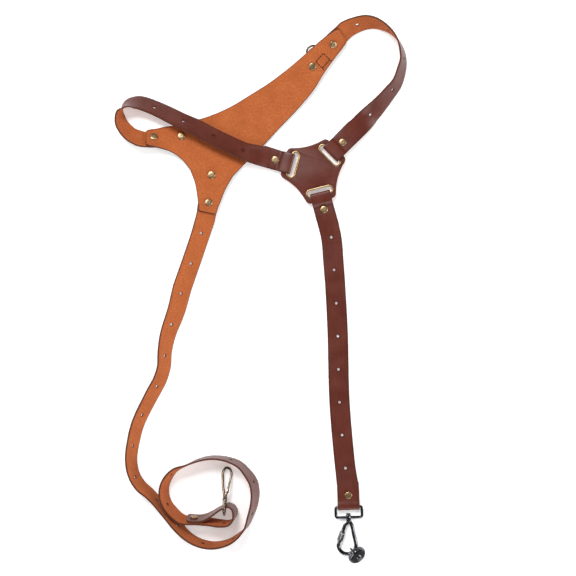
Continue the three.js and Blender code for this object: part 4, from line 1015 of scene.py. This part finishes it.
def bent_rod(rows, width, length, steps, nose, nose_step, radius, rings):
    """A rod bent through rows, with its nose turned to meet the end of the gate."""
    bend = through([(x * width, -y * length, 0) for x, y in rows], np.linspace(0, 1, steps))
    path = [tuple(p * MM) for p in (*bend, nose + nose_step, nose)]
    return rod(path, radius * MM, rings=rings)


def straight_rod(start, way, knots, radius, rings):
    return rod([tuple((start + way * s) * MM) for s in knots], radius * MM, rings=rings)


def cheek(pivot, toward, radius, bottom, thickness):
    """A flat plate with round ends from a pivot to a second place, in the local plane."""
    across, up = toward[0] - pivot[0], toward[1] - pivot[1]
    deselect()
    bpy.ops.mesh.primitive_cylinder_add(vertices=32, radius=radius * MM, depth=thickness * MM,
                                        location=(0, 0, 0))
    flat = bpy.context.object
    co = coordinates(flat)
    co[co[:, 0] > 1e-6, 0] += math.hypot(across, up) * MM
    move_points(flat, co)
    finish_with(flat, "BEVEL", width=0.14 * MM, segments=2, angle_limit=math.radians(60))
    place = Matrix.Translation((pivot[0] * MM, pivot[1] * MM, (bottom + thickness / 2) * MM))
    return put(flat, place @ Matrix.Rotation(math.atan2(up, across), 4, "Z"))


def pin(pivot, radius, reach):
    """A riveted pin through a hinge, with its ends peened into low domes."""
    r = radius
    profile = [(0, -reach - 0.25), (r * 0.7, -reach - 0.2), (r * 1.25, -reach), (r * 1.25, -reach + 0.1),
               (r, -reach + 0.15), (r, reach - 0.15), (r * 1.25, reach - 0.1), (r * 1.25, reach),
               (r * 0.7, reach + 0.2), (0, reach + 0.25)]
    obj = spun("pin", profile, 24)
    return put(obj, Matrix.Translation((pivot[0] * MM, pivot[1] * MM, 0)))


def swivel_stem(top, bottom, head, head_radius, collar, collar_radius, stem):
    """The stem that turns in a boss, with the head above it and the collar below."""
    return [barrel(head_radius, top + 0.3 + head, top + 0.3, 0.5),
            barrel(stem, top + 0.4, bottom - 0.8, 0.1),
            barrel(collar_radius, bottom - 0.3, bottom - 0.3 - collar, 0.7)]


nose = GATE_PIVOT + nose_way * (GATE_LENGTH + NOSE_GAP)
body_parts = [bent_rod(carabiner_rows, CARABINER_WIDTH, CARABINER_LENGTH, 90, nose, nose_way * 1.2,
                       CARABINER_ROD, 7)]
body_parts += swivel_stem(BOSS_HALF, -BOSS_HALF, 1.5, 2.7, 3, 3, 1.6)
body_parts.append(cheek((-0.6, -6.3), GATE_PIVOT, 1.8, -0.8, 1.6))
carabiner = put(fuse(body_parts), carabiner_frame)
plated(carabiner, "carabiner_rod", gunmetal, "carabiner", "carabiner_body")

gate_parts = [straight_rod(GATE_PIVOT + nose_way * 2.7, nose_way,
                           (0, 2, 6, 10, 14, 18, 20.0, 20.2), GATE_ROD, 7)]
for bottom in (1.1, -2.0):
    gate_parts.append(cheek(GATE_PIVOT, GATE_PIVOT + nose_way * 4, 1.9, bottom, 0.9))
gate_parts.append(pin(GATE_PIVOT, 0.85, 2.0))
gate = put(fuse(gate_parts), carabiner_frame)
plated(gate, "carabiner_gate_rod", gunmetal, "gate", "carabiner_gate")


def ribbed(obj, inner, low, high, depth, count):
    """Raises ribs round a turned piece, where it is wider than inner between two heights."""
    co = coordinates(obj)
    reach = np.hypot(co[:, 0], co[:, 1])
    angle = np.arctan2(co[:, 1], co[:, 0])
    raised = (reach > inner * MM) & (co[:, 2] > low * MM) & (co[:, 2] < high * MM)
    co[:, :2] *= np.where(raised, 1 + depth * np.cos(count * angle), 1)[:, None]
    move_points(obj, co)


SLEEVE_START = 8.4
ribbed_steel = worn_metal("ribbed_sleeve", (0.16, 0.16, 0.165), (0.3, 0.3, 0.31), 0.24,
                          (0.03, 0.03, 0.03), 0.5)
sleeve_profile = [
    (2.57, 0.1), (2.8, 0), (3.4, 0), (3.68, 0.25), (3.68, 1.2), (3.35, 1.4), (3.35, 1.7),
    (3.55, 1.95), (3.55, 3.5), (3.55, 5), (3.55, 7), (3.55, 8.5), (3.55, 10.05), (3.35, 10.3),
    (3.35, 10.6), (3.68, 10.8), (3.68, 11.75), (3.4, 12), (2.8, 12), (2.57, 11.9), (2.57, 0.1),
]
sleeve = spun("sleeve", sleeve_profile, 96)
ribbed(sleeve, 3.5, 1.9, 10.1, 0.04, 24)
put(sleeve, carabiner_frame @ axis_frame((GATE_PIVOT + nose_way * SLEEVE_START) * MM, nose_way))
plated(sleeve, "locking_sleeve", ribbed_steel, "sleeve", "carabiner_sleeve", 30)

# The camera fastener: a ring in the carabiner's bend, a round knob with a ribbed rim, and a
# tripod stud that stands out of a rubber pad.

KNOB_EYE = (0.114832, -0.325869, 0.0057)
KNOB_AXIS = Vector((0.5435, -0.4894, 0.6820)).normalized()
EYE_AXIS = Vector((-0.6751, -0.7377, 0.0087)).normalized()
EYE_RADIUS = 4.7 * MM
EYE_ROD = 0.9 * MM
THREADS = 5
THREAD_PITCH = 0.64
eye_side = EYE_AXIS.cross(KNOB_AXIS)
ring_points = []
for k in range(48):
    angle = 2 * math.pi * k / 48
    spoke = KNOB_AXIS * math.cos(angle) + eye_side * math.sin(angle)
    ring_points.append(tuple(Vector(KNOB_EYE) + spoke * EYE_RADIUS))
knob_ring = rod(ring_points, EYE_ROD, closed=True, rings=5)
knob_profile = [
    (0, 3.9), (1.9, 3.9), (2.3, 4.6), (9.8, 4.6), (10.6, 4.75), (11.2, 5.2), (11.5, 5.8),
    (11.5, 7.0), (11.5, 8.4), (11.5, 9.2), (11.25, 9.8), (10.6, 10.2), (3.3, 10.2), (3.15, 10.3),
    (3.15, 11.5),
]
for k in range(THREADS):
    base = 11.7 + THREAD_PITCH * k
    knob_profile += [(3.15, base), (2.72, base + THREAD_PITCH / 2)]
knob_profile += [(3.1, 15.0), (2.7, 15.6), (0, 15.65)]
knob = spun("knob", knob_profile, 96)
ribbed(knob, 11.3, 5.7, 20, 0.016, 36)
put(knob, axis_frame(KNOB_EYE, KNOB_AXIS))
fastener = fuse([knob, knob_ring])
plated(fastener, "camera_knob", gunmetal, "carabiner", "camera_fastener", 35)


def pad_rubber(black, dusty):
    pad = Finish("pad_rubber")
    grit = pad.noise(pad.place(), 2600, 3, 0.6)
    pad.fed("Base Color", pad.tint(grit, black, dusty))
    pad.fixed(Roughness=0.8, Specular_IOR_Level=0.2)
    pad.relief((grit, 0.35, 0.0001))
    return pad.material


rubber = pad_rubber((0.006, 0.006, 0.006), (0.018, 0.018, 0.018))
pad_profile = [
    (3.45, 10.7), (3.5, 10.5), (9.3, 10.5), (9.5, 10.7), (9.5, 11.45), (9.3, 11.7), (8.5, 11.7),
    (8.4, 11.5), (7.7, 11.5), (7.6, 11.7), (6.7, 11.7), (6.6, 11.5), (5.9, 11.5), (5.8, 11.7),
    (3.7, 11.7), (3.45, 11.5), (3.45, 10.7),
]
pad = put(spun("pad", pad_profile, 64), axis_frame(KNOB_EYE, KNOB_AXIS))
plated(pad, "pad", rubber, "carabiner", "rubber_pad", 35)

# The snap hook: a bronze-plated eye stands upright in the strap's end loop, and a slim hook
# turns in its boss, with a sprung gate on a riveted tongue.

bronze = worn_metal("bronze_plate", (0.1, 0.075, 0.05), (0.2, 0.16, 0.115), 0.24,
                    (0.025, 0.018, 0.012), 0.55)
HOOK_EYE = (-0.0448, -0.2606, 0.0156)
EYE_WIDTH = 31.4
EYE_LENGTH = 16
hook_frame = local_frame(HOOK_EYE, 177, 20)
eye_points = [(0, y + EYE_LENGTH / 2 * MM, -x) for x, y, z in rounded_rectangle(EYE_WIDTH, EYE_LENGTH, 3)]
hook_eye = rod(eye_points, 1.7 * MM, closed=True)
eye_boss = barrel(3, 1.9, -3, 0.5, bore=1.8)
snap_eye = put(fuse([hook_eye, eye_boss]), hook_frame)
plated(snap_eye, "snap_eye", bronze, "harness", "hook_eye")

HOOK_WIDTH = 10.4
HOOK_LENGTH = 40.6
HOOK_ROD = 1.6
LATCH_LENGTH = 21.2
LATCH_ROD = 1.3
HOOK_PIVOT = np.array([-2.3, -9.7, 0])
hook_rows = [(0.08, 0.135), (0.17, 0.23), (0.308, 0.394), (0.404, 0.64), (0.442, 0.813), (0.356, 0.926),
             (0.03, 1), (-0.327, 0.97), (-0.525, 0.89), (-0.58, 0.835)]
latch_way = np.array([-3.65, -20.9, 0]) / math.hypot(3.65, 20.9)
hook_nose = HOOK_PIVOT + latch_way * (LATCH_LENGTH + NOSE_GAP)
hook_parts = [bent_rod(hook_rows, HOOK_WIDTH, HOOK_LENGTH, 80, hook_nose, latch_way, HOOK_ROD, 6)]
hook_parts += swivel_stem(1.9, -3, 1.2, 2.5, 3, 2.7, 1.5)
hook_parts.append(cheek((0, -5.4), HOOK_PIVOT, 1.5, -0.55, 1.1))
hook = put(fuse(hook_parts), hook_frame)
plated(hook, "snap_hook_rod", bronze, "hook", "hook_body")

latch_parts = [straight_rod(HOOK_PIVOT + latch_way * 2.3, latch_way,
                            (0, 3, 7, 11, 15, 18.7, 18.9), LATCH_ROD, 6)]
for bottom in (0.8, -1.4):
    latch_parts.append(cheek(HOOK_PIVOT, HOOK_PIVOT + latch_way * 3.4, 1.6, bottom, 0.6))
latch_parts.append(pin(HOOK_PIVOT, 0.65, 1.35))
latch = put(fuse(latch_parts), hook_frame)
plated(latch, "snap_gate", bronze, "latch", "hook_gate")

# The D-ring: bent antique wire in the folded tab under the yoke's long arm.

RING_BAR = (0.068858, 0.291937, 0.003)
RING_HALF = 8.8
RING_BOW = 9.8
RING_ROD = 1.2 * MM
bar_end = [(RING_HALF - 0.6, 0.16), (RING_HALF - 0.16, 0.6), (RING_HALF, 1.2)]
ring_outline = [((RING_HALF - 1.2) * (k / 2 - 1), 0) for k in range(5)] + bar_end
for k in range(25):
    angle = math.radians(180 * k / 24)
    ring_outline.append((RING_HALF * math.cos(angle), 4 + RING_BOW * math.sin(angle)))
ring_outline += [(-x, y) for x, y in bar_end[::-1]]
dark_brass = worn_metal("dark_brass", (0.1, 0.07, 0.045), (0.22, 0.16, 0.1), 0.26,
                        (0.02, 0.014, 0.01), 0.5)
ring = rod([(x * MM, y * MM, 0) for x, y in ring_outline], RING_ROD, closed=True)
put(ring, local_frame(RING_BAR, 47, 8))
plated(ring, "tether_ring", dark_brass, "harness", "d_ring")

# The studio: a plain white table that glows a little, four broad soft lights round it, the
# one behind the highest, and a camera straight above the middle of the picture.

TABLE_GLOW = 0.36
CAMERA_HEIGHT = 1.6
HALF_VIEW = 0.36
deselect()
bpy.ops.mesh.primitive_plane_add(size=8, location=(0, 0, 0))
table = bpy.context.object
table.name = "table"
white = Finish("white_table")
paper = white.noise(white.place(), 3, 2)
white.fed("Base Color", white.tint(paper, (0.86, 0.86, 0.86), (0.88, 0.88, 0.88)))
white.fixed(Roughness=0.9, Specular_IOR_Level=0.1, Emission_Color=(1, 1, 1, 1), Emission_Strength=TABLE_GLOW)
table.data.materials.append(white.material)


def soft_light(name, place, size, watts):
    light = bpy.data.lights.new(name, "AREA")
    light.shape = "RECTANGLE"
    light.size, light.size_y = size
    light.energy = watts
    obj = bpy.data.objects.new(name, light)
    obj.location = place
    obj.rotation_euler = (-Vector(place)).to_track_quat("-Z", "Y").to_euler()
    bpy.context.scene.collection.objects.link(obj)


soft_light("top_light", (-0.5, 1.2, 1.9), (0.9, 0.7), 46)
soft_light("front_light", (0.5, -2.2, 1.0), (1.9, 0.6), 34)
soft_light("right_light", (2.2, -0.3, 0.95), (0.6, 1.9), 34)
soft_light("left_light", (-2.2, 0.3, 1.05), (0.6, 1.9), 20)
world = bpy.data.worlds.new("studio")
bpy.context.scene.world = world
world.use_nodes = True
background = world.node_tree.nodes["Background"]
background.inputs["Color"].default_value = (1, 1, 1, 1)
background.inputs["Strength"].default_value = 0.2
bpy.context.scene.view_settings.view_transform = "Standard"

camera = bpy.data.objects.new("camera", bpy.data.cameras.new("camera"))
camera.data.sensor_fit = "HORIZONTAL"
camera.data.angle = 2 * math.atan(HALF_VIEW / CAMERA_HEIGHT)
camera.location = (0.0334, 0.0019, CAMERA_HEIGHT)
bpy.context.scene.collection.objects.link(camera)
bpy.context.scene.camera = camera
